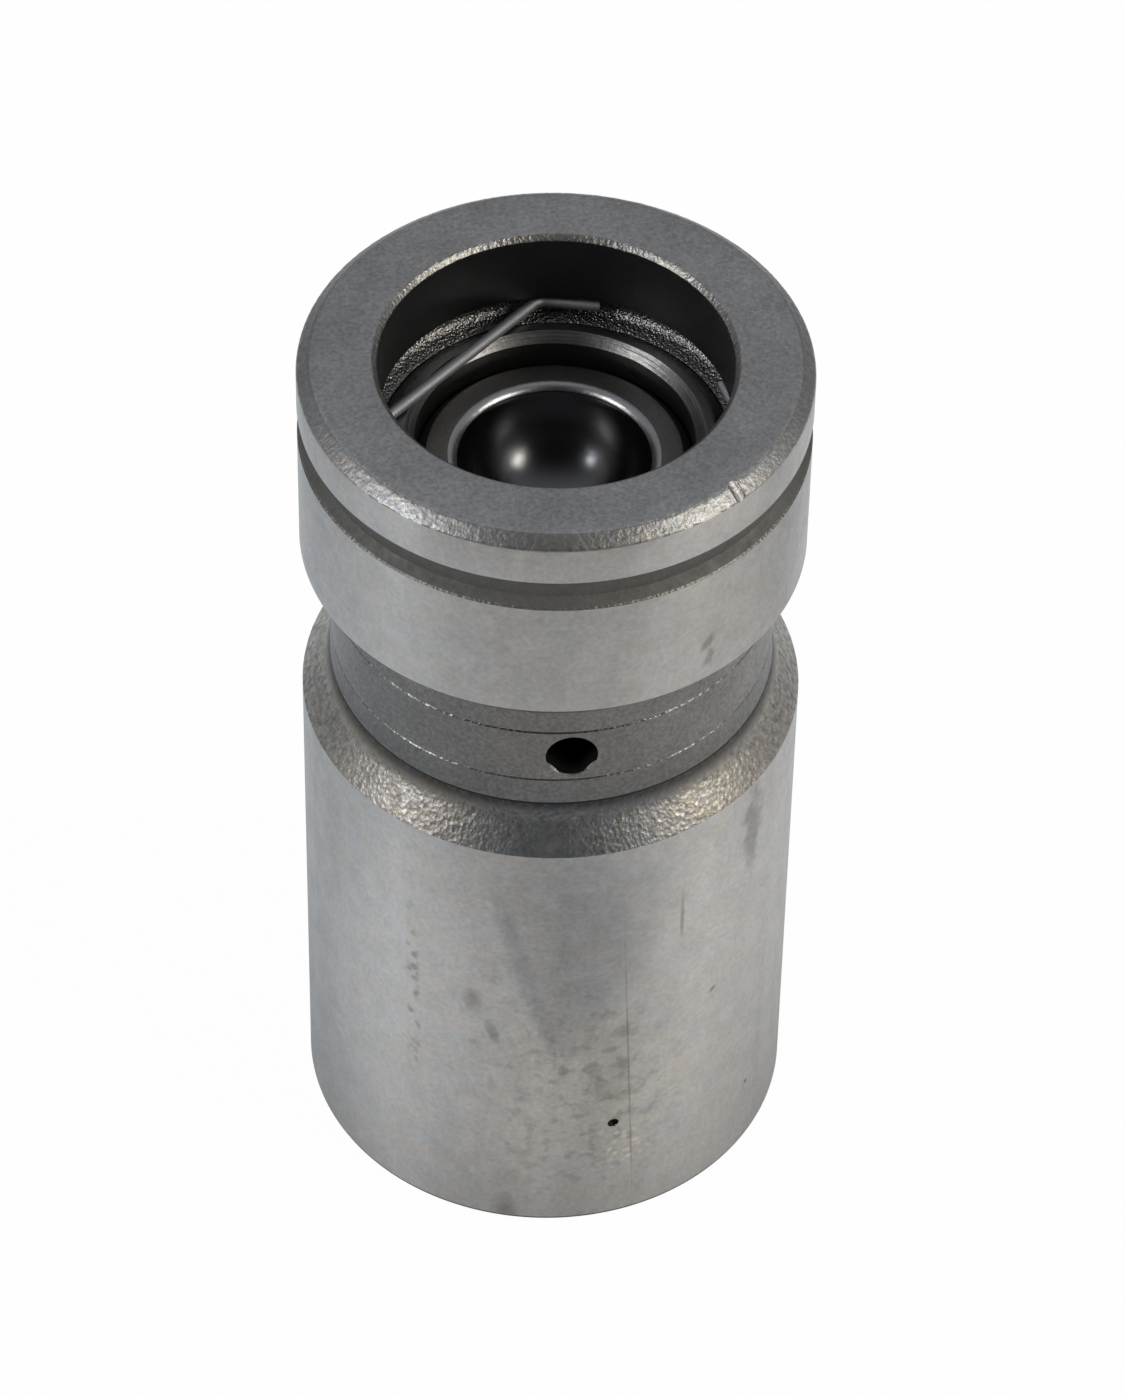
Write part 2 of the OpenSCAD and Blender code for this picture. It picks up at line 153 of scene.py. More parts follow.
class ShaderTree:
    """Nodes of one material or of the world."""

    def __init__(self, owner: Union[bpy.types.Material, bpy.types.World]) -> None:
        """Clear the owner's nodes and start anew.

        Args:
            owner: Material or world whose tree is filled.
        """
        owner.use_nodes = True
        self.nodes = owner.node_tree.nodes
        self.links = owner.node_tree.links
        self.nodes.clear()
        self._place: Optional[Value] = None

    def node(
        self,
        kind: str,
        settings: Mapping[str, Any],
        sockets: Mapping[Union[int, str], Any],
        output: Union[int, str] = 0,
    ) -> Value:
        """Add a node, set its options, then fill its sockets.

        Args:
            kind: Type name of the node.
            settings: Options of the node.
            sockets: A value or a link for each input that isn't left as it is.
            output: Output to return.

        Returns:
            The chosen output.
        """
        made = self.nodes.new(kind)
        for name, option in settings.items():
            setattr(made, name, option)
        for key, term in sockets.items():
            if isinstance(term, Value):
                self.links.new(term.socket, made.inputs[key])
            else:
                made.inputs[key].default_value = term
        return Value(self, made.outputs[output]) if len(made.outputs) else Value(self, made.inputs[0])

    def place(self) -> Value:
        """Place on the piece.

        Returns:
            The Object coordinates, in millimetres.
        """
        if self._place is None:
            metres = self.node("ShaderNodeTexCoord", {}, {}, "Object")
            scaled = {"operation": "SCALE"}
            self._place = self.node("ShaderNodeVectorMath", scaled, {0: metres, "Scale": PER_METRE})
        return self._place

    def axes(self) -> tuple[Value, Value, Value]:
        """The three coordinates of the place.

        Returns:
            Along X, along Y and up.
        """
        parts = self.node("ShaderNodeSeparateXYZ", {}, {0: self.place()}, 0)
        outputs = parts.socket.node.outputs
        return parts, Value(self, outputs[1]), Value(self, outputs[2])

    def angle(self) -> Value:
        """Angle round the axis, in degrees from the oil hole."""
        x, y, _ = self.axes()
        return self.node("ShaderNodeMath", {"operation": "ARCTAN2"}, {0: x, 1: y * -1.0}) * math.degrees(1)

    def stretched(self, across: float, along: float) -> Value:
        """Place stretched differently round and along the axis.

        Args:
            across: Factor on X and Y.
            along: Factor on Z.

        Returns:
            The stretched place.
        """
        return self.times(self.place(), (across, across, along))

    def noise(self, scale: float, detail: float = 2.0, vector: Optional[Value] = None) -> Value:
        """Cloudy noise about a half.

        Args:
            scale: Features in a millimetre.
            detail: Number of finer octaves.
            vector: Coordinates, if not the plain place.

        Returns:
            Noise from 0 to 1.
        """
        sockets = {"Vector": vector or self.place(), "Scale": scale, "Detail": detail}
        return self.node("ShaderNodeTexNoise", {}, sockets)

    def cells(self, vector: Value) -> Value:
        """Distance to the nearest of points scattered one to a unit."""
        return self.node("ShaderNodeTexVoronoi", {}, {"Vector": vector, "Scale": 1.0})

    def step(self, value: Value, low: float, high: float) -> Value:
        """Soft step from 0 at one value to 1 at another.

        Args:
            value: Value that is stepped.
            low: Where the step is 0.
            high: Where the step is 1, which may be lower.

        Returns:
            The step from 0 to 1.
        """
        soft = {"interpolation_type": "SMOOTHSTEP"}
        if low <= high:
            return self.node("ShaderNodeMapRange", soft, {0: value, 1: low, 2: high, 3: 0.0, 4: 1.0})
        return self.node("ShaderNodeMapRange", soft, {0: value, 1: high, 2: low, 3: 1.0, 4: 0.0})

    def shade(self, colour: Colour, tone: Value) -> Value:
        """A colour made lighter or darker by a factor."""
        scaled = {"operation": "SCALE"}
        return self.node("ShaderNodeVectorMath", scaled, {0: colour, "Scale": tone})

    def blend(self, share: Value, first: Any, second: Any) -> Value:
        """Blend of two colours.

        Args:
            share: Share of the second colour.
            first: Colour at 0.
            second: Colour at 1.

        Returns:
            The blended colour.
        """
        colours = [term if isinstance(term, Value) else (*term, 1.0) for term in (first, second)]
        sockets = {0: share, 6: colours[0], 7: colours[1]}
        return self.node("ShaderNodeMix", {"data_type": "RGBA"}, sockets, 2)

    def warmed(self, colour: Value, share: Value) -> Value:
        """A colour made warmer where the share is 0 and cooler where it is 1."""
        return self.times(colour, self.blend(share, WARM, COOL))

    def times(self, first: Value, second: Any) -> Value:
        """Product of two colours or vectors."""
        return self.node("ShaderNodeVectorMath", {"operation": "MULTIPLY"}, {0: first, 1: second})

    def bump(self, height: Value, depth: float, normal: Optional[Value] = None) -> Value:
        """Relief on the surface.

        Args:
            height: Height from 0 to 1.
            depth: Depth of the relief in millimetres.
            normal: Coarser relief under it.

        Returns:
            The bumped normal.
        """
        sockets: dict[Union[int, str], Any] = {"Height": height, "Distance": depth * MM, "Strength": 1.0}
        if normal is not None:
            sockets["Normal"] = normal
        return self.node("ShaderNodeBump", {}, sockets)


@dataclass(frozen=True)
class Cloud:
    """Cloudy noise with a scale of its own.

    Attributes:
        scale: Features in a millimetre.
        detail: Number of finer octaves.
        stretch: Factors on the place round and along the axis, if the clouds are drawn out.
        edge: Noise at which a patch starts and at which it is full.
    """

    scale: float
    detail: float
    stretch: Optional[Point] = None
    edge: Point = (0.35, 0.65)

    def field(self, tree: ShaderTree) -> Value:
        """The noise, from 0 to 1."""
        vector = tree.stretched(*self.stretch) if self.stretch else None
        return tree.noise(self.scale, self.detail, vector)

    def swing(self, tree: ShaderTree) -> Value:
        """The noise less a half, which swings about nought."""
        return self.field(tree) - 0.5

    def mask(self, tree: ShaderTree) -> Value:
        """Patches cut softly from the noise, from 0 to 1."""
        return tree.step(self.field(tree), *self.edge)


# Clouds that vary the finishes, and how far those of hue swing on the lands
PATCHES = Cloud(0.3, 4.0)
SPECKLE = Cloud(1.7, 3.0)
GRAIN_HUES = Cloud(3.0, 2.0)
LAND_BANDS = Cloud(1.0, 3.0, stretch=(0.55, 0.03))
LAND_BLOTCHES = Cloud(0.8, 8.0)
LAND_SPOTS = Cloud(1.4, 8.0, edge=(0.5, 0.66))
LAND_HUES = Cloud(0.7, 6.0, edge=(0.3, 0.7))
LAND_HUE_SPREAD = 0.55
MARK_BREAKS = Cloud(1.8, 5.0, stretch=(1.0, 0.7))

# Octaves of the grain, and how much rougher dark metal is
GRAIN_DETAIL = 3.0
DARK_DULLS = 0.1

# Where a mark's edge starts and where it is full, in shares of its size, and the same for its dots
MARK_EDGE: Point = (1.35, 0.35)
DOT_EDGE: Point = (0.5, 0.2)


@dataclass(frozen=True)
class Steel:
    """Worked steel with a grain, a lay of tool marks and patches of tone.

    Attributes:
        name: Name of the finish.
        colour: Colour of the bare metal.
        roughness: Mean roughness.
        grain: Grains in a millimetre.
        grain_depth: Depth of the grain.
        lay: Tool marks in a millimetre, round the axis and along it.
        lay_depth: Depth of the tool marks.
        patches: Share by which the tone varies in broad patches.
        cavity: Share by which the tone falls in the hollows of the grain.
        spread: Share by which the roughness varies.
        streak: How far tool marks round the axis smear reflections along it, from 0 to 1.
    """

    name: str
    colour: Colour
    roughness: float
    grain: float = 6.0
    grain_depth: float = 0.002
    lay: Point = (0.4, 14.0)
    lay_depth: float = 0.001
    patches: float = 0.08
    cavity: float = 0.0
    spread: float = 0.15
    streak: float = 0.0

    def material(self) -> bpy.types.Material:
        """Make the material.

        Returns:
            A metal whose tone, gloss and relief come from its nodes.
        """
        made = bpy.data.materials.new(self.name)
        tree = ShaderTree(made)
        grain = tree.noise(self.grain, GRAIN_DETAIL)
        tone = self.tone(tree, grain)
        gloss = self.gloss(tree, tone)
        normal = tree.bump(grain, self.grain_depth)
        normal = tree.bump(self.marks(tree), self.lay_depth, normal)
        sockets = {
            "Base Color": self.tint(tree, tree.shade(self.colour, tone)),
            "Metallic": 1.0,
            "Roughness": gloss,
            "Normal": normal,
            "Anisotropic": self.streak,
            "Anisotropic Rotation": QUARTER_TURN,
        }
        surface = tree.node("ShaderNodeBsdfPrincipled", {}, sockets)
        tree.node("ShaderNodeOutputMaterial", {}, {"Surface": surface})
        return made

    def marks(self, tree: ShaderTree) -> Value:
        """Height of the tool marks."""
        return tree.noise(1.0, vector=tree.stretched(*self.lay))

    def tone(self, tree: ShaderTree, grain: Value) -> Value:
        """Tone of the metal over the surface.

        Args:
            tree: Tree of the material.
            grain: Height of the grain.

        Returns:
            A factor on the colour.
        """
        broad = PATCHES.swing(tree)
        return (1.0 + broad * (2 * self.patches)) * (1.0 + (grain - 0.5) * (2 * self.cavity))

    def gloss(self, tree: ShaderTree, tone: Value) -> Value:
        """Roughness over the surface, a little higher where the tone is dark."""
        speckle = SPECKLE.swing(tree) * (2 * self.roughness * self.spread)
        return self.roughness + speckle + (1.0 - tone) * DARK_DULLS

    def tint(self, tree: ShaderTree, colour: Value) -> Value:
        """Colour with any stains, hues or painted light laid over it."""
        return colour


@dataclass(frozen=True)
class RoughSteel(Steel):
    """Steel left rough, whose marks are grains with facets that sparkle.

    Attributes:
        hollow_shade: Heights between which painted shade darkens the tone into a hollow, if there is one.
        hollow_shade_share: Share of the tone that this painted shade takes away.
        hollow_shade_ragged: How far the grain breaks up the edge of that painted shade, in height.
        painted_lamp_tint: Warm tint of painted lamp light away from the side of the oil hole, if there is
            one.
        painted_lamp_from: Angles either side of the oil hole between which that painted light comes in.
    """

    hollow_shade: Optional[Point] = None
    hollow_shade_share: float = 0.72
    hollow_shade_ragged: float = 0.5
    painted_lamp_tint: Optional[Colour] = None
    painted_lamp_from: Point = (10.0, 34.0)

    def tone(self, tree: ShaderTree, grain: Value) -> Value:
        """Tone with painted shade that deepens towards a hollow.

        Args:
            tree: Tree of the material.
            grain: Height of the grain.

        Returns:
            A factor on the colour.
        """
        tone = super().tone(tree, grain)
        if self.hollow_shade is None:
            return tone
        # Painted shade that darkens the tone into the hollow
        ragged = tree.axes()[2] + (grain - 0.5) * self.hollow_shade_ragged
        return tone * (1.0 - tree.step(ragged, *self.hollow_shade) * self.hollow_shade_share)

    def marks(self, tree: ShaderTree) -> Value:
        """Height of the grains."""
        return tree.cells(tree.stretched(*self.lay))

    def tint(self, tree: ShaderTree, colour: Value) -> Value:
        """Colour that is warmer on some grains and cooler on others, with painted warm lamp light at the
        sides.

        Args:
            tree: Tree of the material.
            colour: Colour before it.

        Returns:
            The tinted colour.
        """
        colour = tree.warmed(colour, GRAIN_HUES.mask(tree))
        if self.painted_lamp_tint is None:
            return colour
        # Painted warm lamp light on the sides that catch the lamps
        share = tree.step(abs(tree.angle()), *self.painted_lamp_from)
        return tree.times(colour, tree.blend(share, WHITE, self.painted_lamp_tint))


@dataclass(frozen=True)
class Mark:
    """A stain, spot or scratch on a land, or a patch of painted light or shade.

    Attributes:
        angle: Middle of the mark.
        z: Middle of the mark above the foot.
        half_angle: Half of its width.
        half_z: Half of its height.
        depth: Share of the tone that it takes away, below 0 where it is bright.
        lean: Degrees that it shifts for each millimetre up.
        taper: Degrees that half of its width grows for each millimetre up.
        ragged: How far noise breaks up its edge.
        dots: Dots in a millimetre, if it is a row of dots.
        hue: How far it turns the colour cool, or warm below 0.
    """

    angle: float
    z: float
    half_angle: float
    half_z: float
    depth: float
    lean: float = 0.0
    taper: float = 0.0
    ragged: float = 0.5
    dots: float = 0.0
    hue: float = 0.0

    def mask(self, tree: ShaderTree, angle: Value, z: Value, breaks: Value) -> Value:
        """Where the mark lies.

        Args:
            tree: Tree of the material.
            angle: Angle round the axis.
            z: Height above the foot.
            breaks: Noise from -1 to 1 that breaks up the edge.

        Returns:
            The mark's strength over the surface.
        """
        up = z - self.z
        across = (angle - self.angle - up * self.lean) / (up * self.taper + self.half_angle)
        along = up / self.half_z
        reach = (across * across + along * along) ** 0.5 + breaks * self.ragged
        mask = tree.step(reach, *MARK_EDGE) * self.depth
        if self.dots:
            mask = mask * tree.step(tree.cells(tree.stretched(self.dots, self.dots)), *DOT_EDGE)
        return mask


@dataclass(frozen=True)
class GroundSteel(Steel):
    """Ground guide land with the marks of handling and patches of painted light and shade.

    Attributes:
        stains_and_painted_light: Stains and other marks that darken it, and patches of painted light and
            shade.
        etched: Region with fine dark spots, and how dark they are.
    """

    stains_and_painted_light: tuple[Mark, ...] = ()
    etched: Mark = Mark(4.0, 8.0, 24.0, 7.5, 0.22, ragged=0.8, hue=-1.5)

    def tone(self, tree: ShaderTree, grain: Value) -> Value:
        """Tone with soft bands along the axis, blotches and marks.

        Args:
            tree: Tree of the material.
            grain: Height of the grain.

        Returns:
            A factor on the colour.
        """
        angle = tree.angle()
        z = tree.axes()[2]
        bands = LAND_BANDS.swing(tree)
        blotches = LAND_BLOTCHES.mask(tree) - 0.5
        breaks = self.breaks(tree)
        tone = 1.0 + (bands * 2.0 + blotches) * (self.patches / 2) + (grain - 0.5) * (2 * self.cavity)
        spots = LAND_SPOTS.mask(tree)
        tone = tone * (1.0 - spots * self.etched.mask(tree, angle, z, breaks))
        for land_mark in self.stains_and_painted_light:
            tone = tone * (1.0 - land_mark.mask(tree, angle, z, breaks))
        return tone

    def tint(self, tree: ShaderTree, colour: Value) -> Value:
        """Colour with warm and cool clouds over it, and the hues of its marks.

        Args:
            tree: Tree of the material.
            colour: Colour before it.

        Returns:
            The tinted colour.
        """
        angle, z, breaks = tree.angle(), tree.axes()[2], self.breaks(tree)
        share = (LAND_HUES.mask(tree) - 0.5) * LAND_HUE_SPREAD + 0.5
        for mark in (self.etched, *self.stains_and_painted_light):
            if mark.hue:
                share = share + mark.mask(tree, angle, z, breaks) * mark.hue
        return tree.warmed(colour, share)

    @staticmethod
    def breaks(tree: ShaderTree) -> Value:
        """Noise from -1 to 1 that breaks up the edges of marks."""
        return MARK_BREAKS.swing(tree) * 2.0


# Stains, spots and scratches on the lands, with patches of painted shade and painted light among them
LAND_MARKS = (
    Mark(46.0, 36.5, 24.0, 8.0, 0.24, ragged=0.15),  # shade on the right of the upper land
    Mark(-38.0, 11.0, 32.0, 12.0, -0.17, ragged=0.2),  # painted light on the left of the lower land
    Mark(4.0, 5.0, 26.0, 8.0, -0.14, ragged=0.2),  # painted light in a strip above the foot
    Mark(13.5, 4.6, 5.0, 1.5, -0.3, ragged=0.9, dots=2.6),  # bright specks beside the pit
    Mark(3.0, 17.8, 16.0, 7.7, 0.18, lean=0.5, taper=1.9, ragged=0.3, hue=2.0),  # dark wedge
    Mark(-11.0, 17.0, 2.6, 6.0, 0.13, lean=-1.3, ragged=0.7, hue=2.0),  # left border of the wedge
    Mark(-38.3, 14.2, 1.7, 6.0, 0.36, dots=1.7),  # row of dark dots
    Mark(-36.9, 12.0, 0.9, 4.0, 0.24, dots=1.8),  # second row beside it
    Mark(-22.8, 14.6, 2.2, 0.75, 0.24),  # round spot
    Mark(-17.8, 12.7, 1.5, 0.65, 0.24, lean=-1.5),  # smaller spot under it
    Mark(-22.8, 11.8, 1.3, 0.22, 0.2),  # short dash
    Mark(-4.5, 13.0, 3.0, 1.2, 0.1, ragged=0.9, hue=1.5),  # point of the wedge
    Mark(44.0, 23.5, 20.0, 2.2, 0.06, ragged=0.3),  # shade below the shoulder on the right
    Mark(14.5, 10.1, 0.28, 8.6, 0.28, lean=-0.22, ragged=0.6),  # long scratch
    Mark(27.2, 18.8, 0.6, 1.4, 0.36, ragged=0.8),  # short scratch
    Mark(49.2, 21.4, 3.4, 2.8, 0.36, ragged=0.75),  # stain near the right side
    Mark(51.9, 4.1, 0.7, 0.16, 0.6, ragged=0.3),  # speck low on the right
    Mark(37.2, 12.8, 0.8, 0.2, 0.45, lean=3.0, ragged=0.3),  # slanting dash
    Mark(7.5, 9.0, 1.5, 0.9, 0.16, ragged=0.8),  # spot above the pit
    Mark(8.5, 9.6, 6.5, 4.5, 0.12, ragged=1.1, hue=-2.0),  # warm stain round it
    Mark(-18.0, 9.2, 1.2, 0.5, 0.14, ragged=0.8),  # spot low on the left
    Mark(-14.2, 0.86, 2.6, 1.0, 0.2, ragged=0.9),  # stain at the foot's edge
    Mark(31.2, 35.3, 1.6, 0.4, 0.34, lean=3.0, ragged=1.0),  # stain on the upper land
    Mark(31.2, 34.3, 1.3, 0.4, 0.28, lean=2.0, ragged=1.0),  # its lower half
)


class Zone(Enum):
    """Differently finished stretches of the body, with their finishes."""

    FOOT = Steel(
        "Ground cam face", (0.42, 0.42, 0.42), roughness=0.25, grain=5.0, grain_depth=0.001,
        lay=(5.0, 5.0), lay_depth=0.001,
    )
    LAND = GroundSteel(
        "Ground land", (0.47, 0.47, 0.47), roughness=0.43, grain=4.5, grain_depth=0.002, lay=(0.5, 16.0),
        lay_depth=0.0008, patches=0.16, cavity=0.2, streak=0.75, stains_and_painted_light=LAND_MARKS,
    )
    # Painted shadow round the foot, on its chamfer and a thin strip above it
    EDGE = Steel("Painted shadow round the foot", (0.16, 0.16, 0.16), roughness=0.5)
    ROUGH = RoughSteel(
        "Rough shoulder", (0.287, 0.301, 0.319), roughness=0.44, grain=4.0, grain_depth=0.0238,
        # Painted shade falling into the hollow at the top of the shoulder
        lay=(6.0, 4.2), lay_depth=0.0146, patches=0.1, cavity=0.85, hollow_shade=(25.5, 26.2),
        # Painted warm tint of lamp light on the shoulder's lit sides
        painted_lamp_tint=(1.1, 1.005, 0.89),
    )
    CHAMFER = RoughSteel(
        "Rough top edge", (0.305, 0.305, 0.306), roughness=0.45, grain=4.5, grain_depth=0.022,
        lay=(6.0, 6.0), lay_depth=0.009, patches=0.1, cavity=0.4,
    )
    # Painted shade in the thin undercut at the top of the shoulder
    UNDERCUT = Steel(
        "Painted shade in the undercut", (0.05, 0.05, 0.05), roughness=0.6, grain=6.0, grain_depth=0.01, lay=(0.5, 6.0),
        lay_depth=0.01, patches=0.1,
    )
    FLARE = Steel(
        "Turned flare", (0.166, 0.167, 0.169), roughness=0.46, grain=5.5, grain_depth=0.02,
        lay=(0.25, 8.0), lay_depth=0.008, patches=0.2, cavity=0.5,
    )
    NECK = Steel(
        "Turned neck", (0.182, 0.181, 0.18), roughness=0.46, grain=5.5, grain_depth=0.02, lay=(0.25, 8.0),
        lay_depth=0.008, patches=0.25, cavity=0.5,
    )
    SCORE = RoughSteel(
        "Tool line in the neck", (0.19, 0.19, 0.19), roughness=0.38, grain=4.0, grain_depth=0.03,
        lay=(5.0, 5.0), lay_depth=0.02, patches=0.5, cavity=1.4,
    )
    TOP = Steel(
        "Blasted top", (0.405, 0.407, 0.415), roughness=0.5, grain=6.5, grain_depth=0.035, lay=(2.0, 2.0),
        lay_depth=0.03, patches=0.3, cavity=0.5,
    )
    GROOVE = Steel(
        "Tool groove", (0.175, 0.174, 0.168), roughness=0.7, grain=6.0, grain_depth=0.01, lay=(0.25, 9.0),
        lay_depth=0.006, patches=0.1, cavity=0.2,
    )
    BURR = RoughSteel(
        "Edge of the tool groove", (0.2, 0.195, 0.185), roughness=0.5, grain=6.0, grain_depth=0.03,
        lay=(6.0, 6.0), lay_depth=0.02, patches=0.1, cavity=0.2,
    )
    BORE_EDGE = RoughSteel(
        "Rough bore edge", (0.28, 0.277, 0.27), roughness=0.42, grain=5.5, grain_depth=0.03,
        lay=(7.0, 7.0), lay_depth=0.016, patches=0.1, cavity=0.4,
    )
    # Honed bore, its colour darkened as painted shade inside the lifter
    BORE = Steel(
        "Honed bore with painted shade", (0.11, 0.11, 0.115), roughness=0.42, grain=6.0, grain_depth=0.002, lay=(0.4, 12.0),
        lay_depth=0.002, patches=0.1, cavity=0.1,
    )
    CLIP_SEAT = RoughSteel(
        "Rough clip groove", (0.21, 0.21, 0.21), roughness=0.34, grain=7.0, grain_depth=0.045,
        lay=(9.0, 9.0), lay_depth=0.028, patches=0.1, cavity=0.5,
    )
    # Near black: painted shade on the wall of the drilled oil hole, and the dark bottom of the pit
    PIT = Steel(
        "Dark pit and painted shade in the drilled hole", (0.03, 0.03, 0.03), roughness=0.6, grain=6.0, grain_depth=0.01,
        lay=(3.0, 3.0), lay_depth=0.002, patches=0.1,
    )


@dataclass(frozen=True)
class Corner:
    """A corner of an outline.

    Attributes:
        r: Distance from the axis.
        z: Height above the foot.
        zone: Finish of the straight that ends here.
        fillet: Radius that rounds the corner.
        rows: Strips in the straight that ends here.
    """

    r: float
    z: float
    zone: Optional[Enum] = None
    fillet: float = 0.0
    rows: int = 1


def arc(centre: Point, radius: float, start: float, end: float, steps: int) -> list[Point]:
    """Points on an arc.

    Args:
        centre: Middle of the circle.
        radius: Radius of the circle.
        start: First angle, in degrees from the outward direction towards up.
        end: Last angle.
        steps: Number of chords.

    Returns:
        The points from the first angle to the last.
    """
    angles = [math.radians(start + (end - start) * k / steps) for k in range(steps + 1)]
    return [(centre[0] + radius * math.cos(a), centre[1] + radius * math.sin(a)) for a in angles]


def fillet_points(before: Vector, corner: Vector, after: Vector, radius: float) -> list[Vector]:
    """Round one corner of an outline.

    Args:
        before: Neighbour on the way in.
        corner: The corner.
        after: Neighbour on the way out.
        radius: Radius of the fillet.

    Returns:
        Points along the fillet.
    """
    inward = (before - corner).normalized()
    outward = (after - corner).normalized()
    half = inward.angle(outward) / 2
    centre = corner + (inward + outward).normalized() * (radius / math.sin(half))
    start = corner + inward * (radius / math.tan(half)) - centre
    end = corner + outward * (radius / math.tan(half)) - centre
    turn = -start.angle_signed(end)
    steps = max(FILLET_STEPS, round(radius * abs(turn) / FILLET_CHORD))
    return [centre + Matrix.Rotation(turn * k / steps, 2) @ start for k in range(steps + 1)]


def outline(corners: Sequence[Corner]) -> list[Point]:
    """Points of an outline, with its corners rounded and its straights in strips.

    Args:
        corners: Corners in order.

    Returns:
        Distance from the axis and height of each point.
    """
    places = [Vector((corner.r, corner.z)) for corner in corners]
    points: list[Vector] = []
    for i, corner in enumerate(corners):
        bend = [places[i]]
        if corner.fillet and 0 < i < len(corners) - 1:
            bend = fillet_points(places[i - 1], places[i], places[i + 1], corner.fillet)
        if points:
            last = points[-1]
            points += [last.lerp(bend[0], k / corner.rows) for k in range(1, corner.rows)]
        points += bend
    return [(point.x, point.y) for point in points]


# Share of the relief that is left where a rough stretch meets a plain one
BORDER_SHARE = 0.25


class Workpiece:
    """A mesh on the bench, shaped by operators."""

    def __init__(self, name: str, add: Callable[..., Any], **settings: Any) -> None:
        """Add a primitive at its size and place.

        Args:
            name: Name of the piece.
            add: Operator that adds the primitive.
            settings: The operator's settings, in metres.
        """
        bpy.ops.object.select_all(action="DESELECT")
        add(**settings)
        self.object = bpy.context.object
        self.object.name = name
        self.object.data.name = name
        bpy.ops.object.transform_apply(location=True, rotation=True, scale=True)

    def pick(self) -> None:
        """Make this the one selected and active object."""
        bpy.ops.object.select_all(action="DESELECT")
        self.object.select_set(True)
        bpy.context.view_layer.objects.active = self.object

    def edit(self) -> None:
        """Go into edit mode with everything selected."""
        self.pick()
        bpy.ops.object.mode_set(mode="EDIT")
        bpy.ops.mesh.select_all(action="SELECT")

    def done(self) -> None:
        """Leave edit mode."""
        bpy.ops.object.mode_set(mode="OBJECT")

    def modify(self, kind: str, **settings: Any) -> None:
        """Add a modifier and apply it.

        Args:
            kind: Type of the modifier.
            settings: Its options.
        """
        self.pick()
        bpy.ops.object.modifier_add(type=kind)
        modifier = self.object.modifiers[-1]
        for name, option in settings.items():
            setattr(modifier, name, option)
        bpy.ops.object.modifier_apply(modifier=modifier.name)

    def weld(self) -> None:
        """Merge what meets and turn every face outwards."""
        self.edit()
        bpy.ops.mesh.remove_doubles(threshold=WELD)
        bpy.ops.mesh.normals_make_consistent(inside=False)
        self.done()

    def cut(self, cutters: Iterable["Workpiece"]) -> None:
        """Cut other pieces away from this one and throw them out.

        Args:
            cutters: Closed pieces.
        """
        for cutter in cutters:
            self.modify("BOOLEAN", object=cutter.object, operation="DIFFERENCE", solver="MANIFOLD")
            bpy.data.objects.remove(cutter.object)

    def place(self, turn: Matrix, shift: Vector) -> "Workpiece":
        """Turn and then move the piece, with its place kept in its mesh.

        Args:
            turn: Rotation about the origin.
            shift: Move in millimetres.

        Returns:
            The piece.
        """
        self.object.matrix_world = Matrix.Translation(shift * MM) @ turn.to_4x4()
        self.pick()
        bpy.ops.object.transform_apply(location=True, rotation=True, scale=True)
        return self

    def slice(self, point: Vector, way: Vector) -> None:
        """Slice off and close what lies beyond a plane.

        Args:
            point: Point on the plane, in millimetres.
            way: Direction of the part that is thrown away.
        """
        self.edit()
        bpy.ops.mesh.bisect(
            plane_co=point * MM, plane_no=way, use_fill=True, clear_outer=True, threshold=WELD,
        )
        self.done()

    def normals(self) -> np.ndarray:
        """Directions that the faces look in.

        Returns:
            One row for each face.
        """
        flat = np.empty(len(self.object.data.polygons) * 3)
        self.object.data.polygons.foreach_get("normal", flat)
        return flat.reshape(-1, 3)

    def middles(self) -> np.ndarray:
        """Middles of the faces.

        Returns:
            One row for each face, in millimetres.
        """
        flat = np.empty(len(self.object.data.polygons) * 3)
        self.object.data.polygons.foreach_get("center", flat)
        return flat.reshape(-1, 3) * PER_METRE

    def smooth(self) -> None:
        """Shade smooth, with edges where faces meet at an angle."""
        self.pick()
        bpy.ops.object.shade_smooth_by_angle(angle=math.radians(SMOOTH_DEG))

    def roughen(self, faces: np.ndarray, size: float, depth: float) -> None:
        """Raise and sink the surface of some faces in small grains.

        Args:
            faces: True for each face that is rough.
            size: Size of a grain.
            depth: Full depth of the relief.
        """
        mesh = self.object.data
        group = self.object.vertex_groups.new(name="rough")
        rough: set[int] = set()
        plain: set[int] = set()
        for polygon, chosen in zip(mesh.polygons, faces):
            (rough if chosen else plain).update(polygon.vertices)
        group.add(sorted(rough - plain), 1.0, "REPLACE")
        group.add(sorted(rough & plain), BORDER_SHARE, "REPLACE")
        texture = bpy.data.textures.new("grain", "CLOUDS")
        texture.noise_scale = size * MM
        texture.noise_depth = 1
        self.modify(
            "DISPLACE", texture=texture, texture_coords="LOCAL", vertex_group=group.name,
            strength=depth * MM, mid_level=0.5, direction="NORMAL",
        )
        self.object.vertex_groups.clear()

    def finish(self, *finishes: Steel) -> None:
        """Give the piece its material slots.

        Args:
            finishes: Finish of each slot.
        """
        self.object.data.materials.clear()
        for steel in finishes:
            self.object.data.materials.append(steel.material())

    def dress(self, options: type[Enum], faces: Sequence[Enum]) -> None:
        """Give each face the finish of its zone.

        Args:
            options: Zones of the piece, whose values are finishes.
            faces: Zone of each face.
        """
        order = list(options)
        self.finish(*(zone.value for zone in order))
        slots = [order.index(zone) for zone in faces]
        self.object.data.polygons.foreach_set("material_index", slots)

    def hand_over(self, node: str) -> None:
        """Let the piece stand for its solid, on that solid's body.

        Args:
            node: Solid that it replaces.
        """
        record = frame["record"]
        bodies = record["behaviour"]["bodies"]
        body = next(name for name, nodes in bodies.items() if node in nodes)
        slot = next(part["material_slot"] for part in record["subparts"] if part["node"] == node)
        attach(self.object, body)
        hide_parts(node)
        LOG.info("%s: %d faces on %s", self.object.name, len(self.object.data.polygons), body)


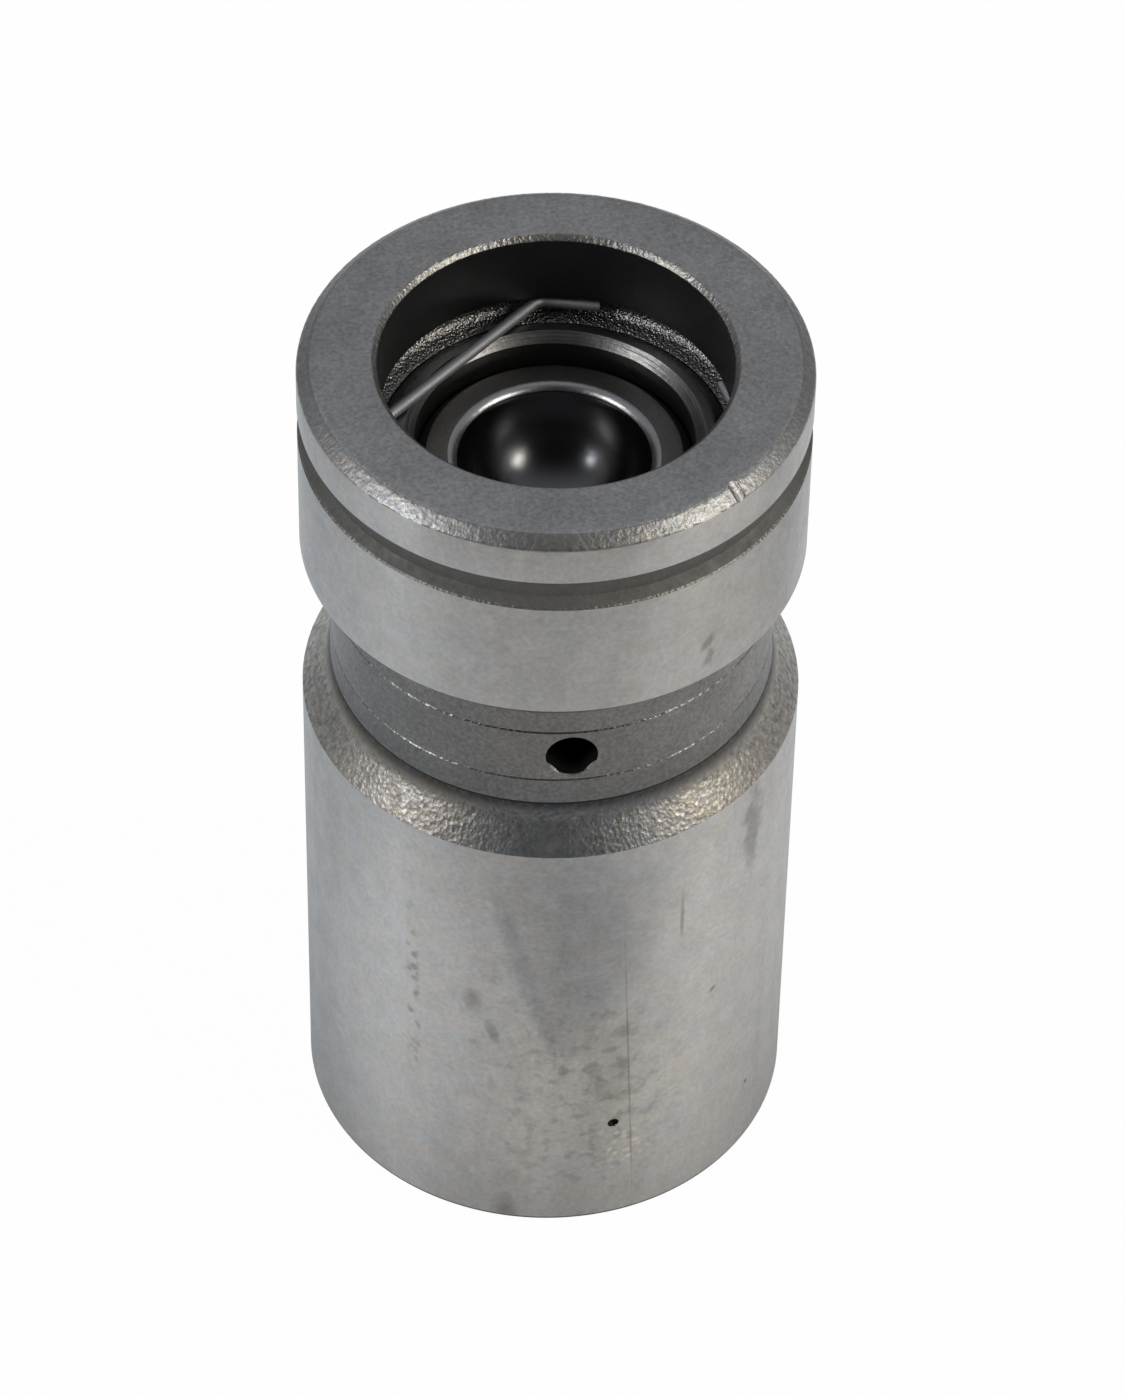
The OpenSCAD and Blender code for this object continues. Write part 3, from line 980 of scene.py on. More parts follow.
def turned(name: str, points: Sequence[Point], steps: int) -> Workpiece:
    """Turn an outline round the Z axis.

    Args:
        name: Name of the piece.
        points: Outline from the axis to the axis, or closed on itself.
        steps: Steps in a full turn.

    Returns:
        The closed piece.
    """
    first = Vector((points[0][0], 0, points[0][1])) * MM
    piece = Workpiece(name, bpy.ops.mesh.primitive_plane_add, size=MM, location=first)
    piece.edit()
    bpy.ops.mesh.merge(type="CENTER")
    for (r0, z0), (r1, z1) in zip(points, points[1:]):
        move = ((r1 - r0) * MM, 0, (z1 - z0) * MM)
        bpy.ops.mesh.extrude_region_move(TRANSFORM_OT_translate={"value": move})
    piece.done()
    piece.modify(
        "SCREW", axis="Z", angle=math.tau, steps=steps, render_steps=steps,
        use_merge_vertices=True, merge_threshold=WELD,
    )
    piece.weld()
    return piece


def drawn(name: str, route: Sequence[Vector], wire_d: float) -> Workpiece:
    """Draw a round wire along a route.

    Args:
        name: Name of the piece.
        route: Points of the centreline, in millimetres.
        wire_d: Diameter of the wire.

    Returns:
        The closed piece.
    """
    last = len(route) - 1
    ways = [route[min(i + 1, last)] - route[max(i - 1, 0)] for i in range(last + 1)]
    heads = [math.atan2(way.y, way.x) for way in ways]
    piece = Workpiece(
        name, bpy.ops.mesh.primitive_circle_add, vertices=WIRE_SIDES, radius=wire_d / 2 * MM,
        fill_type="NGON", location=route[0] * MM, rotation=(math.pi / 2, 0, heads[0] + math.pi / 2),
    )
    piece.edit()
    for i in range(1, last + 1):
        bpy.ops.mesh.extrude_region_move(TRANSFORM_OT_translate={"value": (route[i] - route[i - 1]) * MM})
        turn = (heads[i] - heads[i - 1] + math.pi) % math.tau - math.pi
        bpy.ops.transform.rotate(value=-turn, orient_axis="Z", center_override=route[i] * MM)
    piece.done()
    piece.weld()
    return piece


def scored(r: float, z: float, line: Point, before: Enum, inside: Enum) -> list[Corner]:
    """A thin line that a tool left round the piece.

    Args:
        r: Radius of the surface.
        z: Height of the line.
        line: Depth and width of the line.
        before: Finish below the line.
        inside: Finish in the line.

    Returns:
        Its lower edge, its bottom and its upper edge.
    """
    depth, width = line
    return [
        Corner(r, z - width / 2, before),
        Corner(r - depth, z + width * SCORE_LEAN, inside),
        Corner(r, z + width / 2, inside),
    ]


@dataclass
class LifterBody:
    """One turned piece: foot, two guide lands, neck, tool groove and stepped bore.

    A point is a distance from the axis and a height. A fillet is a radius that rounds a corner, and a pair
    of fillets is for the lower corner and the upper one.

    Attributes:
        radius: Radius of both guide lands.
        length: Height of the top.
        foot_edge: Leg of the chamfer round the foot.
        foot_fillets: Fillets of that chamfer.
        foot_shade: Height of the strip of painted shadow above it.
        shoulder_z: Where the lower land ends.
        shoulder_fillet: Fillet there.
        shoulder_top: Where the rough shoulder meets the neck.
        shoulder_root: Fillet there.
        shoulder_rows: Strips in the shoulder.
        hollow_top: Where the undercut lies.
        undercut: Depth and width of the undercut.
        neck_r: Radius of the neck.
        neck_low: Height of the lower tool line.
        neck_high: Height of the upper tool line.
        low_score: Depth and width of the lower tool line.
        score: Depth and width of the upper tool line.
        flank_foot: Where the neck flares out again.
        flank_top: Where the upper land starts.
        flank_fillets: Fillets of the flare.
        groove_low: Where the tool groove starts.
        groove_r: Radius of its floor.
        groove_floor: Where its floor starts.
        groove_high: Where it ends.
        groove_burr: Height of the rough strip on its lower edge.
        groove_slope_fillets: Fillets of its sloping side.
        groove_wall_fillets: Fillets of its upper side, at the floor and at the land.
        top_edge_r: Width of the rough top edge.
        top_edge_z: Height of the rough top edge.
        top_fillets: Fillets of that edge.
        bore_r: Radius of the bore.
        bore_edge: Leg of the chamfer at its mouth.
        bore_fillets: Fillets of that chamfer.
        clip_groove_r: Radius of the groove for the clip.
        clip_groove_low: Where that groove starts.
        clip_groove_high: Where it ends.
        clip_groove_root: Fillet of its worn lower corner.
        clip_groove_corner: Fillet of its upper corner.
        clip_groove_worn: How far its lower edge is worn down.
        clip_groove_fillets: Fillets of its edges.
        stop_z: Height of the step that stops the plunger.
        stop_fillet: Fillet at that step.
        pocket_r: Radius of the spring's pocket.
        pocket_z: Height of the pocket's floor.
        pocket_fillet: Fillet at that floor.
        oil_z: Height of the oil hole.
        oil_r: Radius of the oil hole.
        oil_edge: How much wider its mouth is.
        oil_flat_r: Distance of its two flats from its middle.
        oil_flat_angle: Angle of the flats from straight down.
        oil_sink: Depth of its countersink.
        drill_inset: How far the drill reaches into the bore.
        drill_steps: Steps in a turn of the drill.
        wall_tilt: Share of a face's normal along the drill, below which it is the hole's wall.
        pit_angle: Angle of the pit.
        pit_z: Height of the pit.
        pit_r: Radius of the pit.
        pit_divisions: Divisions of the pit's ball.
        nick_angle: Angle of the nick.
        nick_r: Radius of the rod that made the nick.
        nick_len: Length of that rod.
        nick_sides: Sides of that rod.
        nick_rise: Height of the rod's middle above the edge.
        skin: How far a face may lie from the section before it counts as cut.
        fine_grain: Size and depth of the shoulder's grains.
        coarse_grain: Size and depth of the grains on the other rough stretches.
        steps: Steps in a full turn.
    """

    radius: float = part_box("lifter_body")[1].x * PER_METRE
    length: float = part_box("lifter_body")[1].z * PER_METRE
    foot_edge: float = 0.25
    foot_fillets: Point = (0.08, 0.2)
    foot_shade: float = 0.1
    shoulder_z: float = 24.25
    shoulder_fillet: float = 0.04
    shoulder_top: Point = (9.65, 25.7)
    shoulder_root: float = 2.0
    shoulder_rows: int = 13
    hollow_top: Point = (9.5, 26.35)
    undercut: Point = (0.06, 0.11)
    neck_r: float = 9.42
    neck_low: float = 27.7
    neck_high: float = 30.55
    low_score: Point = (0.055, 0.095)
    score: Point = (0.07, 0.12)
    flank_foot: Point = (9.5, 31.9)
    flank_top: float = 33.2
    flank_fillets: Point = (0.3, 0.05)
    groove_low: float = 39.12
    groove_r: float = 10.25
    groove_floor: float = 39.52
    groove_high: float = 40.65
    groove_burr: float = 0.07
    groove_slope_fillets: Point = (0.03, 0.08)
    groove_wall_fillets: Point = (0.04, 0.05)
    top_edge_r: float = 0.6
    top_edge_z: float = 0.5
    top_fillets: Point = (0.2, 0.45)
    bore_r: float = 7.36
    bore_edge: float = 0.23
    bore_fillets: Point = (0.12, 0.14)
    clip_groove_r: float = 8.15
    clip_groove_low: float = 38.425
    clip_groove_high: float = 39.575
    clip_groove_root: float = 0.5
    clip_groove_corner: float = 0.08
    clip_groove_worn: float = 0.3
    clip_groove_fillets: Point = (0.06, 0.03)
    stop_z: float = 11.7
    stop_fillet: float = 0.05
    pocket_r: float = 6.21
    pocket_z: float = 5.5
    pocket_fillet: float = 0.3
    oil_z: float = 29.125
    oil_r: float = 1.1
    oil_edge: float = 0.05
    oil_flat_r: float = 1.02
    oil_flat_angle: float = 50.0
    oil_sink: float = 0.12
    drill_inset: float = 1.0
    drill_steps: int = 96
    wall_tilt: float = 0.5
    pit_angle: float = 11.1
    pit_z: float = 6.44
    pit_r: float = 0.26
    pit_divisions: int = 3
    nick_angle: float = 39.3
    nick_r: float = 0.5
    nick_len: float = 2.0
    nick_sides: int = 24
    nick_rise: float = 0.42
    skin: float = 0.03
    fine_grain: Point = (0.17, 0.018)
    coarse_grain: Point = (0.2, 0.025)
    steps: int = 640

    def corners(self) -> list[Corner]:
        """Corners of the section, from the foot round to the floor of the pocket.

        Returns:
            The corners, each with the finish of the straight that ends there.
        """
        top = self.length
        groove_slope = (self.radius - self.groove_r) / (self.groove_floor - self.groove_low)
        burr_r = self.radius - self.groove_burr * groove_slope
        worn_z = self.clip_groove_low - self.clip_groove_worn
        return [
            Corner(0, 0),
            Corner(self.radius - self.foot_edge, 0, Zone.FOOT, self.foot_fillets[0]),
            # The chamfer round the foot and the strip above it carry painted shadow
            Corner(self.radius, self.foot_edge, Zone.EDGE, self.foot_fillets[1]),
            Corner(self.radius, self.foot_edge + self.foot_shade, Zone.EDGE),
            Corner(self.radius, self.shoulder_z, Zone.LAND, self.shoulder_fillet),
            Corner(*self.shoulder_top, Zone.ROUGH, self.shoulder_root, self.shoulder_rows),
            *scored(*self.hollow_top, self.undercut, Zone.ROUGH, Zone.UNDERCUT),
            *scored(self.neck_r, self.neck_low, self.low_score, Zone.FLARE, Zone.SCORE),
            *scored(self.neck_r, self.neck_high, self.score, Zone.NECK, Zone.SCORE),
            Corner(*self.flank_foot, Zone.NECK, self.flank_fillets[0], rows=2),
            Corner(self.radius, self.flank_top, Zone.NECK, self.flank_fillets[1], rows=2),
            Corner(self.radius, self.groove_low, Zone.LAND, self.groove_slope_fillets[0]),
            Corner(burr_r, self.groove_low + self.groove_burr, Zone.BURR, rows=2),
            Corner(self.groove_r, self.groove_floor, Zone.GROOVE, self.groove_slope_fillets[1], rows=2),
            Corner(self.groove_r, self.groove_high, Zone.GROOVE, self.groove_wall_fillets[0]),
            Corner(self.radius, self.groove_high, Zone.GROOVE, self.groove_wall_fillets[1]),
            Corner(self.radius, top - self.top_edge_z, Zone.LAND, self.top_fillets[0]),
            Corner(self.radius - self.top_edge_r, top, Zone.CHAMFER, self.top_fillets[1], rows=6),
            Corner(self.bore_r + self.bore_edge, top, Zone.TOP, self.bore_fillets[1], rows=3),
            Corner(self.bore_r, top - self.bore_edge, Zone.BORE_EDGE, self.bore_fillets[0], rows=4),
            Corner(self.bore_r, self.clip_groove_high, Zone.BORE, self.clip_groove_fillets[1]),
            Corner(self.clip_groove_r, self.clip_groove_high, Zone.BORE, self.clip_groove_corner),
            Corner(self.clip_groove_r, self.clip_groove_low, Zone.CLIP_SEAT, self.clip_groove_root, rows=6),
            Corner(self.bore_r, worn_z, Zone.CLIP_SEAT, self.clip_groove_fillets[0], rows=5),
            Corner(self.bore_r, self.stop_z, Zone.BORE, self.stop_fillet),
            Corner(self.pocket_r, self.stop_z, Zone.BORE, self.stop_fillet),
            Corner(self.pocket_r, self.pocket_z, Zone.BORE, self.pocket_fillet),
            Corner(0, self.pocket_z, Zone.BORE),
        ]

    def drill(self) -> list[Workpiece]:
        """The oil hole's drill, flat where metal still stands at the edge, and its countersink.

        Returns:
            Closed pieces to cut away.
        """
        start = self.bore_r - self.drill_inset
        bore = [(0, start), (self.oil_r, start), (self.oil_r, self.radius), (0, self.radius)]
        drill = turned("drill", bore, self.drill_steps)
        for side in (-1, 1):
            lean = math.radians(self.oil_flat_angle) * side
            way = Vector((math.sin(lean), -math.cos(lean), 0))
            drill.slice(way * self.oil_flat_r, way)
        mouth = self.oil_r + self.oil_edge
        sink = [(0, self.neck_r - self.oil_sink), (self.oil_flat_r, self.neck_r - self.oil_sink)]
        sink += [(mouth, self.neck_r), (mouth, self.radius), (0, self.radius)]
        lie = Matrix.Rotation(math.radians(90), 3, "X")
        shift = Vector((0, 0, self.oil_z))
        tools = (drill, turned("countersink", sink, self.drill_steps))
        return [tool.place(lie, shift) for tool in tools]

    def pit(self) -> Workpiece:
        """A small pit in the lower land.

        Returns:
            A closed piece to cut away.
        """
        angle = math.radians(self.pit_angle)
        middle = Vector((math.sin(angle), -math.cos(angle), 0)) * self.radius
        middle.z = self.pit_z
        return Workpiece(
            "pit", bpy.ops.mesh.primitive_ico_sphere_add, subdivisions=self.pit_divisions,
            radius=self.pit_r * MM, location=middle * MM,
        )

    def nick(self) -> Workpiece:
        """A dent across the rough top edge.

        Returns:
            A closed piece to cut away.
        """
        angle = math.radians(self.nick_angle)
        outward = Vector((math.sin(angle), -math.cos(angle), 0))
        upward = Vector((0, 0, 1))
        normal = (outward * self.top_edge_z + upward * self.top_edge_r).normalized()
        slope = (upward * self.top_edge_z - outward * self.top_edge_r).normalized()
        turn = Matrix((slope.cross(normal), normal, -slope)).transposed()
        middle = outward * (self.radius - self.top_edge_r / 2)
        middle += upward * (self.length - self.top_edge_z / 2)
        middle += normal * self.nick_rise
        rod = Workpiece(
            "nick", bpy.ops.mesh.primitive_cylinder_add, vertices=self.nick_sides,
            radius=self.nick_r * MM, depth=self.nick_len * MM,
        )
        return rod.place(turn, middle)

    def zones(self, piece: Workpiece) -> list[Zone]:
        """Finish of each face, by the nearest straight of the section.

        Args:
            piece: The turned and drilled body.

        Returns:
            One zone for each face.
        """
        middles = piece.middles()
        spots = np.column_stack([np.hypot(middles[:, 0], middles[:, 1]), middles[:, 2]])
        corners = self.corners()
        gaps = []
        for before, corner in zip(corners, corners[1:]):
            start = np.array([before.r, before.z])
            way = np.array([corner.r, corner.z]) - start
            share = np.clip((spots - start) @ way / (way @ way), 0, 1)
            gaps.append(np.linalg.norm(spots - start - share[:, None] * way, axis=1))
        nearest = np.argmin(gaps, axis=0)
        found = [corners[i + 1].zone for i in nearest]
        deep = np.min(gaps, axis=0) > self.skin
        hole = deep & (spots[:, 0] > self.bore_r) & (middles[:, 1] < 0)
        hole &= np.hypot(middles[:, 0], middles[:, 2] - self.oil_z) < self.oil_r + self.oil_edge
        upright = np.abs(piece.normals()[:, 1]) < self.wall_tilt
        # The wall of the oil hole is painted near black as shade; the deep faces of the pit are dark too
        dark = np.where(hole, upright, deep & np.array([zone is Zone.LAND for zone in found]))
        for i in np.flatnonzero(hole):
            found[i] = Zone.CHAMFER
        for i in np.flatnonzero(dark):
            found[i] = Zone.PIT
        return found

    def build(self) -> Workpiece:
        """Turn, roughen, drill and dress the body.

        Returns:
            The finished body.
        """
        piece = turned("Body", outline(self.corners()), self.steps)
        zones = self.zones(piece)
        coarse = (Zone.CHAMFER, Zone.BORE_EDGE, Zone.CLIP_SEAT)
        piece.roughen(np.array([zone is Zone.ROUGH for zone in zones]), *self.fine_grain)
        piece.roughen(np.array([zone in coarse for zone in zones]), *self.coarse_grain)
        piece.cut([*self.drill(), self.pit(), self.nick()])
        piece.dress(Zone, self.zones(piece))
        piece.smooth()
        return piece


@dataclass
class RetainingClip:
    """Round wire bent to a square with one side open, sprung into the bore's groove.

    Its angles are measured from +X towards +Y.

    Attributes:
        wire_d: Diameter of the wire.
        z: Height of its middle.
        corner_r: Distance of the two corners next to the ends from the axis.
        square_r: Distance of the other two corners from the axis.
        bend_r: Radius of the bends.
        back_tab: Distance from the axis and angle of the end at the back.
        side_tab: Distance from the axis and angle of the end at the side.
        rows: Strips in a straight.
        finish: Finish of the wire.
    """

    wire_d: float = 0.5
    z: float = 39.0
    corner_r: float = 7.84
    square_r: float = 8.13
    bend_r: float = 0.7
    back_tab: Point = (7.71, 70.6)
    side_tab: Point = (7.54, 16.2)
    rows: int = 6
    finish: Steel = Steel(
        "Drawn clip wire", (0.36, 0.373, 0.395), roughness=0.62, grain=8.0, grain_depth=0.004,
        lay=(6.0, 6.0), lay_depth=0.004, patches=0.12,
    )

    def build(self) -> Workpiece:
        """Bend and dress the wire.

        Returns:
            The finished clip.
        """
        spots = [
            self.back_tab, (self.corner_r, 90), (self.square_r, 180),
            (self.square_r, 270), (self.corner_r, 0), self.side_tab,
        ]
        corners = []
        for i, (r, degrees) in enumerate(spots):
            angle = math.radians(degrees)
            bend_r = self.bend_r if 0 < i < len(spots) - 1 else 0.0
            corners.append(Corner(r * math.cos(angle), r * math.sin(angle), None, bend_r, self.rows))
        route = [Vector((x, y, self.z)) for x, y in outline(corners)]
        piece = drawn("Clip", route, self.wire_d)
        piece.finish(self.finish)
        piece.smooth()
        return piece


class RimZone(Enum):
    """Finishes of the plunger."""

    RIM = Steel(
        "Turned rim", (0.19, 0.19, 0.19), roughness=0.38, grain=5.0, grain_depth=0.01, lay=(0.3, 12.0),
        lay_depth=0.035, patches=0.14, cavity=0.2,
    )
    WALL = Steel(
        "Dark plunger wall", (0.1, 0.1, 0.1), roughness=0.4, grain=6.0, grain_depth=0.003, lay=(0.4, 10.0),
        lay_depth=0.003, patches=0.1,
    )


@dataclass
class Plunger:
    """Hollow plunger with an oil waist, a pocket for the socket and a check valve seat below.

    Attributes:
        radius: Radius that runs in the bore.
        low: Height of its lower end.
        top: Height of its rim.
        rim_bevel: Width and height of the rim's outer bevel.
        inner_edge: Leg of the rim's inner chamfer.
        rim_fillets: Fillets of that chamfer, at the rim and in the pocket.
        pocket_r: Radius of the pocket for the socket.
        pocket_z: Height of the pocket's floor.
        disc_r: Radius of the recess for the disc.
        disc_z: Height of the ledge under the disc.
        disc_fillet: Fillet of that recess.
        reservoir_r: Radius of the oil reservoir.
        reservoir_z: Height of its floor.
        reservoir_fillet: Fillet at that floor.
        feed_r: Radius of the feed hole.
        mouth_r: Radius of the ball's seat at its mouth.
        web_z: Height of the underside of the web.
        skirt_r: Inner radius of the skirt.
        skirt_fillet: Fillet of the skirt.
        waist_r: Radius of the waist.
        waist: Heights between which the waist lies.
        fillet: Fillet of the other edges.
        hole_r: Radius of the side hole.
        hole_z: Height of the side hole.
        drill_inset: How far the drill reaches into the reservoir.
        drill_steps: Steps in a turn of the drill.
        skin: Depth by which the rim's finish stops short of the wall.
        pocket_skin: Depth by which it stops short of the pocket.
        steps: Steps in a full turn.
    """

    radius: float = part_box("plunger")[1].x * PER_METRE
    low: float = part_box("plunger")[0].z * PER_METRE
    top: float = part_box("plunger")[1].z * PER_METRE
    rim_bevel: Point = (0.64, 0.6)
    inner_edge: float = 0.4
    rim_fillets: Point = (0.04, 0.06)
    pocket_r: float = 5.87
    pocket_z: float = 32.0
    disc_r: float = 4.9
    disc_z: float = 31.26
    disc_fillet: float = 0.03
    reservoir_r: float = 4.3
    reservoir_z: float = 19.5
    reservoir_fillet: float = 0.3
    feed_r: float = 1.19
    mouth_r: float = 1.64
    web_z: float = 17.0
    skirt_r: float = 5.6
    skirt_fillet: float = 0.1
    waist_r: float = 6.88
    waist: Point = (27.725, 34.725)
    fillet: float = 0.05
    hole_r: float = 1.0
    hole_z: float = 29.125
    drill_inset: float = 1.0
    drill_steps: int = 48
    skin: float = 0.02
    pocket_skin: float = 0.01
    steps: int = 256

    def corners(self) -> list[Corner]:
        """Corners of the section, closed on itself.

        Returns:
            The corners, each with the finish of the straight that ends there.
        """
        wall, rim = RimZone.WALL, RimZone.RIM
        slope = self.mouth_r - self.feed_r
        return [
            Corner(self.skirt_r, self.low, wall),
            Corner(self.radius, self.low, wall, self.skirt_fillet, rows=2),
            Corner(self.radius, self.waist[0], wall, self.fillet, rows=4),
            Corner(self.waist_r, self.waist[0], wall, self.fillet, rows=2),
            Corner(self.waist_r, self.waist[1], wall, self.fillet, rows=3),
            Corner(self.radius, self.waist[1], wall, self.fillet, rows=2),
            Corner(self.radius, self.top - self.rim_bevel[1], wall, self.fillet, rows=3),
            Corner(self.radius - self.rim_bevel[0], self.top, rim, self.fillet, rows=5),
            Corner(self.pocket_r + self.inner_edge, self.top, rim, self.rim_fillets[0], rows=4),
            Corner(self.pocket_r, self.top - self.inner_edge, rim, self.rim_fillets[1], rows=5),
            Corner(self.pocket_r, self.pocket_z, wall, self.fillet, rows=4),
            Corner(self.disc_r, self.pocket_z, wall, self.disc_fillet, rows=2),
            Corner(self.disc_r, self.disc_z, wall, self.disc_fillet, rows=2),
            Corner(self.reservoir_r, self.disc_z, wall, self.disc_fillet, rows=2),
            Corner(self.reservoir_r, self.reservoir_z, wall, self.reservoir_fillet, rows=4),
            Corner(self.feed_r, self.reservoir_z, wall, self.fillet, rows=3),
            Corner(self.feed_r, self.web_z + slope, wall, rows=2),
            Corner(self.mouth_r, self.web_z, wall, rows=2),
            Corner(self.skirt_r, self.web_z, wall, self.skirt_fillet, rows=3),
            Corner(self.skirt_r, self.low, wall),
        ]

    def build(self) -> Workpiece:
        """Turn, drill and dress the plunger.

        Returns:
            The finished plunger.
        """
        piece = turned("Plunger", outline(self.corners()), self.steps)
        start = self.reservoir_r - self.drill_inset
        bore = [(0, start), (self.hole_r, start), (self.hole_r, self.radius), (0, self.radius)]
        lie = Matrix.Rotation(math.radians(-90), 3, "X")
        drill = turned("side drill", bore, self.drill_steps)
        piece.cut([drill.place(lie, Vector((0, 0, self.hole_z)))])
        middles = piece.middles()
        reach = np.hypot(middles[:, 0], middles[:, 1])
        rim = middles[:, 2] > self.top - max(self.rim_bevel[1], self.inner_edge) - self.skin
        rim &= (reach < self.radius - self.skin) & (reach > self.pocket_r + self.pocket_skin)
        piece.dress(RimZone, [RimZone.RIM if chosen else RimZone.WALL for chosen in rim])
        piece.smooth()
        return piece


class SocketZone(Enum):
    """Finishes of the socket."""

    FACE = Steel(
        "Socket face", (0.165, 0.16, 0.152), roughness=0.42, grain=6.0, grain_depth=0.003, lay=(0.3, 9.0),
        lay_depth=0.003, patches=0.12, cavity=0.3,
    )
    LIP = Steel(
        "Worn lip", (0.43, 0.43, 0.44), roughness=0.33, grain=6.0, grain_depth=0.01, lay=(1.0, 6.0),
        lay_depth=0.006, patches=0.12,
    )
    BOWL = Steel(
        "Polished bowl", (0.16, 0.16, 0.165), roughness=0.23, grain=6.0, grain_depth=0.001, lay=(2.0, 2.0),
        lay_depth=0.001, patches=0.15,
    )


@dataclass
class PushrodSocket:
    """Socket with a polished bowl for the pushrod's ball end.

    Attributes:
        radius: Radius that fits the plunger's pocket.
        low: Height of its underside.
        top: Height of its face.
        edge: Leg of the chamfer round its face.
        low_fillet: Fillet round its underside.
        edge_fillet: Fillet of that chamfer.
        bowl_r: Radius of the bowl.
        bowl_z: Height of the bowl's middle.
        lip_r: Radius of the lip round the bowl.
        hole_r: Radius of the oil hole.
        slot_w: Width of the oil slot in its underside.
        slot_h: Height of the oil slot.
        slot_reach: Length of the slot's cutter, in radii of the socket.
        bowl_skin: How far a face of the bowl may lie from its sphere.
        lip_inset: How far the lip's finish stops short of its outer edge.
        steps: Steps in a full turn.
        bowl_steps: Chords of the bowl's arc.
        lip_steps: Chords of the lip's arc.
    """

    radius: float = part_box("pushrod_seat")[1].x * PER_METRE
    low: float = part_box("pushrod_seat")[0].z * PER_METRE
    top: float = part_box("pushrod_seat")[1].z * PER_METRE
    edge: float = 0.44
    low_fillet: float = 0.08
    edge_fillet: float = 0.06
    bowl_r: float = 4.1
    bowl_z: float = 37.97
    lip_r: float = 0.45
    hole_r: float = 0.75
    slot_w: float = 0.8
    slot_h: float = 0.25
    slot_reach: float = 3.0
    bowl_skin: float = 0.02
    lip_inset: float = 0.05
    steps: int = 256
    bowl_steps: int = 28
    lip_steps: int = 8

    def section(self) -> list[Point]:
        """Outline of the socket, closed on itself.

        Returns:
            Distance from the axis and height of each point.
        """
        lip_z = self.top - self.lip_r
        lip_reach = math.sqrt((self.bowl_r + self.lip_r) ** 2 - (self.bowl_z - lip_z) ** 2)
        lean = math.degrees(math.asin((self.bowl_z - lip_z) / (self.bowl_r + self.lip_r)))
        bottom = -math.degrees(math.acos(self.hole_r / self.bowl_r))
        sides = outline([
            Corner(self.hole_r, self.low),
            Corner(self.radius, self.low, fillet=self.low_fillet, rows=4),
            Corner(self.radius, self.top - self.edge, fillet=self.edge_fillet, rows=4),
            Corner(self.radius - self.edge, self.top, fillet=self.edge_fillet, rows=2),
            Corner(lip_reach, self.top, rows=4),
        ])
        lip = arc((lip_reach, lip_z), self.lip_r, 90, 180 - lean, self.lip_steps)
        bowl = arc((0, self.bowl_z), self.bowl_r, -lean, bottom, self.bowl_steps)
        return sides + lip[1:] + bowl[1:] + [(self.hole_r, self.low)]

    def build(self) -> Workpiece:
        """Turn, slot and dress the socket.

        Returns:
            The finished socket.
        """
        piece = turned("Socket", self.section(), self.steps)
        slot = Workpiece("oil slot", bpy.ops.mesh.primitive_cube_add, size=MM)
        shape = Matrix.Diagonal((self.radius * self.slot_reach, self.slot_w, self.slot_h * 2))
        piece.cut([slot.place(shape, Vector((0, 0, self.low)))])
        middles = piece.middles()
        reach = np.hypot(middles[:, 0], middles[:, 1])
        from_bowl = np.hypot(reach, middles[:, 2] - self.bowl_z)
        bowl = np.abs(from_bowl - self.bowl_r) < self.bowl_skin
        lip = middles[:, 2] > self.top - self.lip_r
        lip &= reach < self.bowl_r + self.lip_r - self.lip_inset
        faces = np.where(bowl, SocketZone.BOWL, np.where(lip, SocketZone.LIP, SocketZone.FACE))
        piece.dress(SocketZone, list(faces))
        piece.smooth()
        return piece


@dataclass
class MeteringDisc:
    """Thin stamped disc that lies loose under the socket.

    Attributes:
        radius: Radius of the disc.
        low: Height of its underside.
        top: Height of its upper face.
        hole_r: Radius of the metering hole.
        edge: Fillet of its edges.
        steps: Steps in a full turn.
        finish: Finish of the disc.
    """

    radius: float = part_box("metering_disc")[1].x * PER_METRE
    low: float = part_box("metering_disc")[0].z * PER_METRE
    top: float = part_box("metering_disc")[1].z * PER_METRE
    hole_r: float = 0.3
    edge: float = 0.07
    steps: int = 128
    finish: Steel = Steel(
        "Stamped disc", (0.5, 0.5, 0.5), roughness=0.35, grain=6.0, grain_depth=0.003, lay=(2.0, 2.0),
        lay_depth=0.002, patches=0.12,
    )

    def build(self) -> Workpiece:
        """Turn and dress the disc.

        Returns:
            The finished disc.
        """
        section = outline([
            Corner(self.hole_r, self.low),
            Corner(self.radius, self.low, fillet=self.edge, rows=6),
            Corner(self.radius, self.top, fillet=self.edge),
            Corner(self.hole_r, self.top, fillet=self.edge, rows=6),
            Corner(self.hole_r, self.low),
        ])
        piece = turned("Disc", section, self.steps)
        piece.finish(self.finish)
        piece.smooth()
        return piece


@dataclass
class CheckBall:
    """Polished ball that shuts the plunger's feed hole.

    Attributes:
        low: Height of its lowest point.
        top: Height of its highest point.
        cuts: Cuts across each side of the cube that it is made from.
        finish: Finish of the ball.
    """

    low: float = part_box("check_ball")[0].z * PER_METRE
    top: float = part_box("check_ball")[1].z * PER_METRE
    cuts: int = 15
    finish: Steel = Steel(
        "Polished ball", (0.7, 0.71, 0.72), roughness=0.1, grain=6.0, grain_depth=0.0004, lay=(4.0, 4.0),
        lay_depth=0.0003, patches=0.04,
    )

    def build(self) -> Workpiece:
        """Divide a cube and swell it to a ball.

        Returns:
            The finished ball.
        """
        piece = Workpiece("Ball", bpy.ops.mesh.primitive_cube_add, size=(self.top - self.low) * MM)
        piece.edit()
        bpy.ops.mesh.subdivide(number_cuts=self.cuts)
        piece.done()
        piece.modify("CAST", cast_type="SPHERE", factor=1.0, size=(self.top - self.low) / 2 * MM)
        piece.place(Matrix.Identity(3), Vector((0, 0, (self.top + self.low) / 2)))
        piece.finish(self.finish)
        piece.smooth()
        return piece


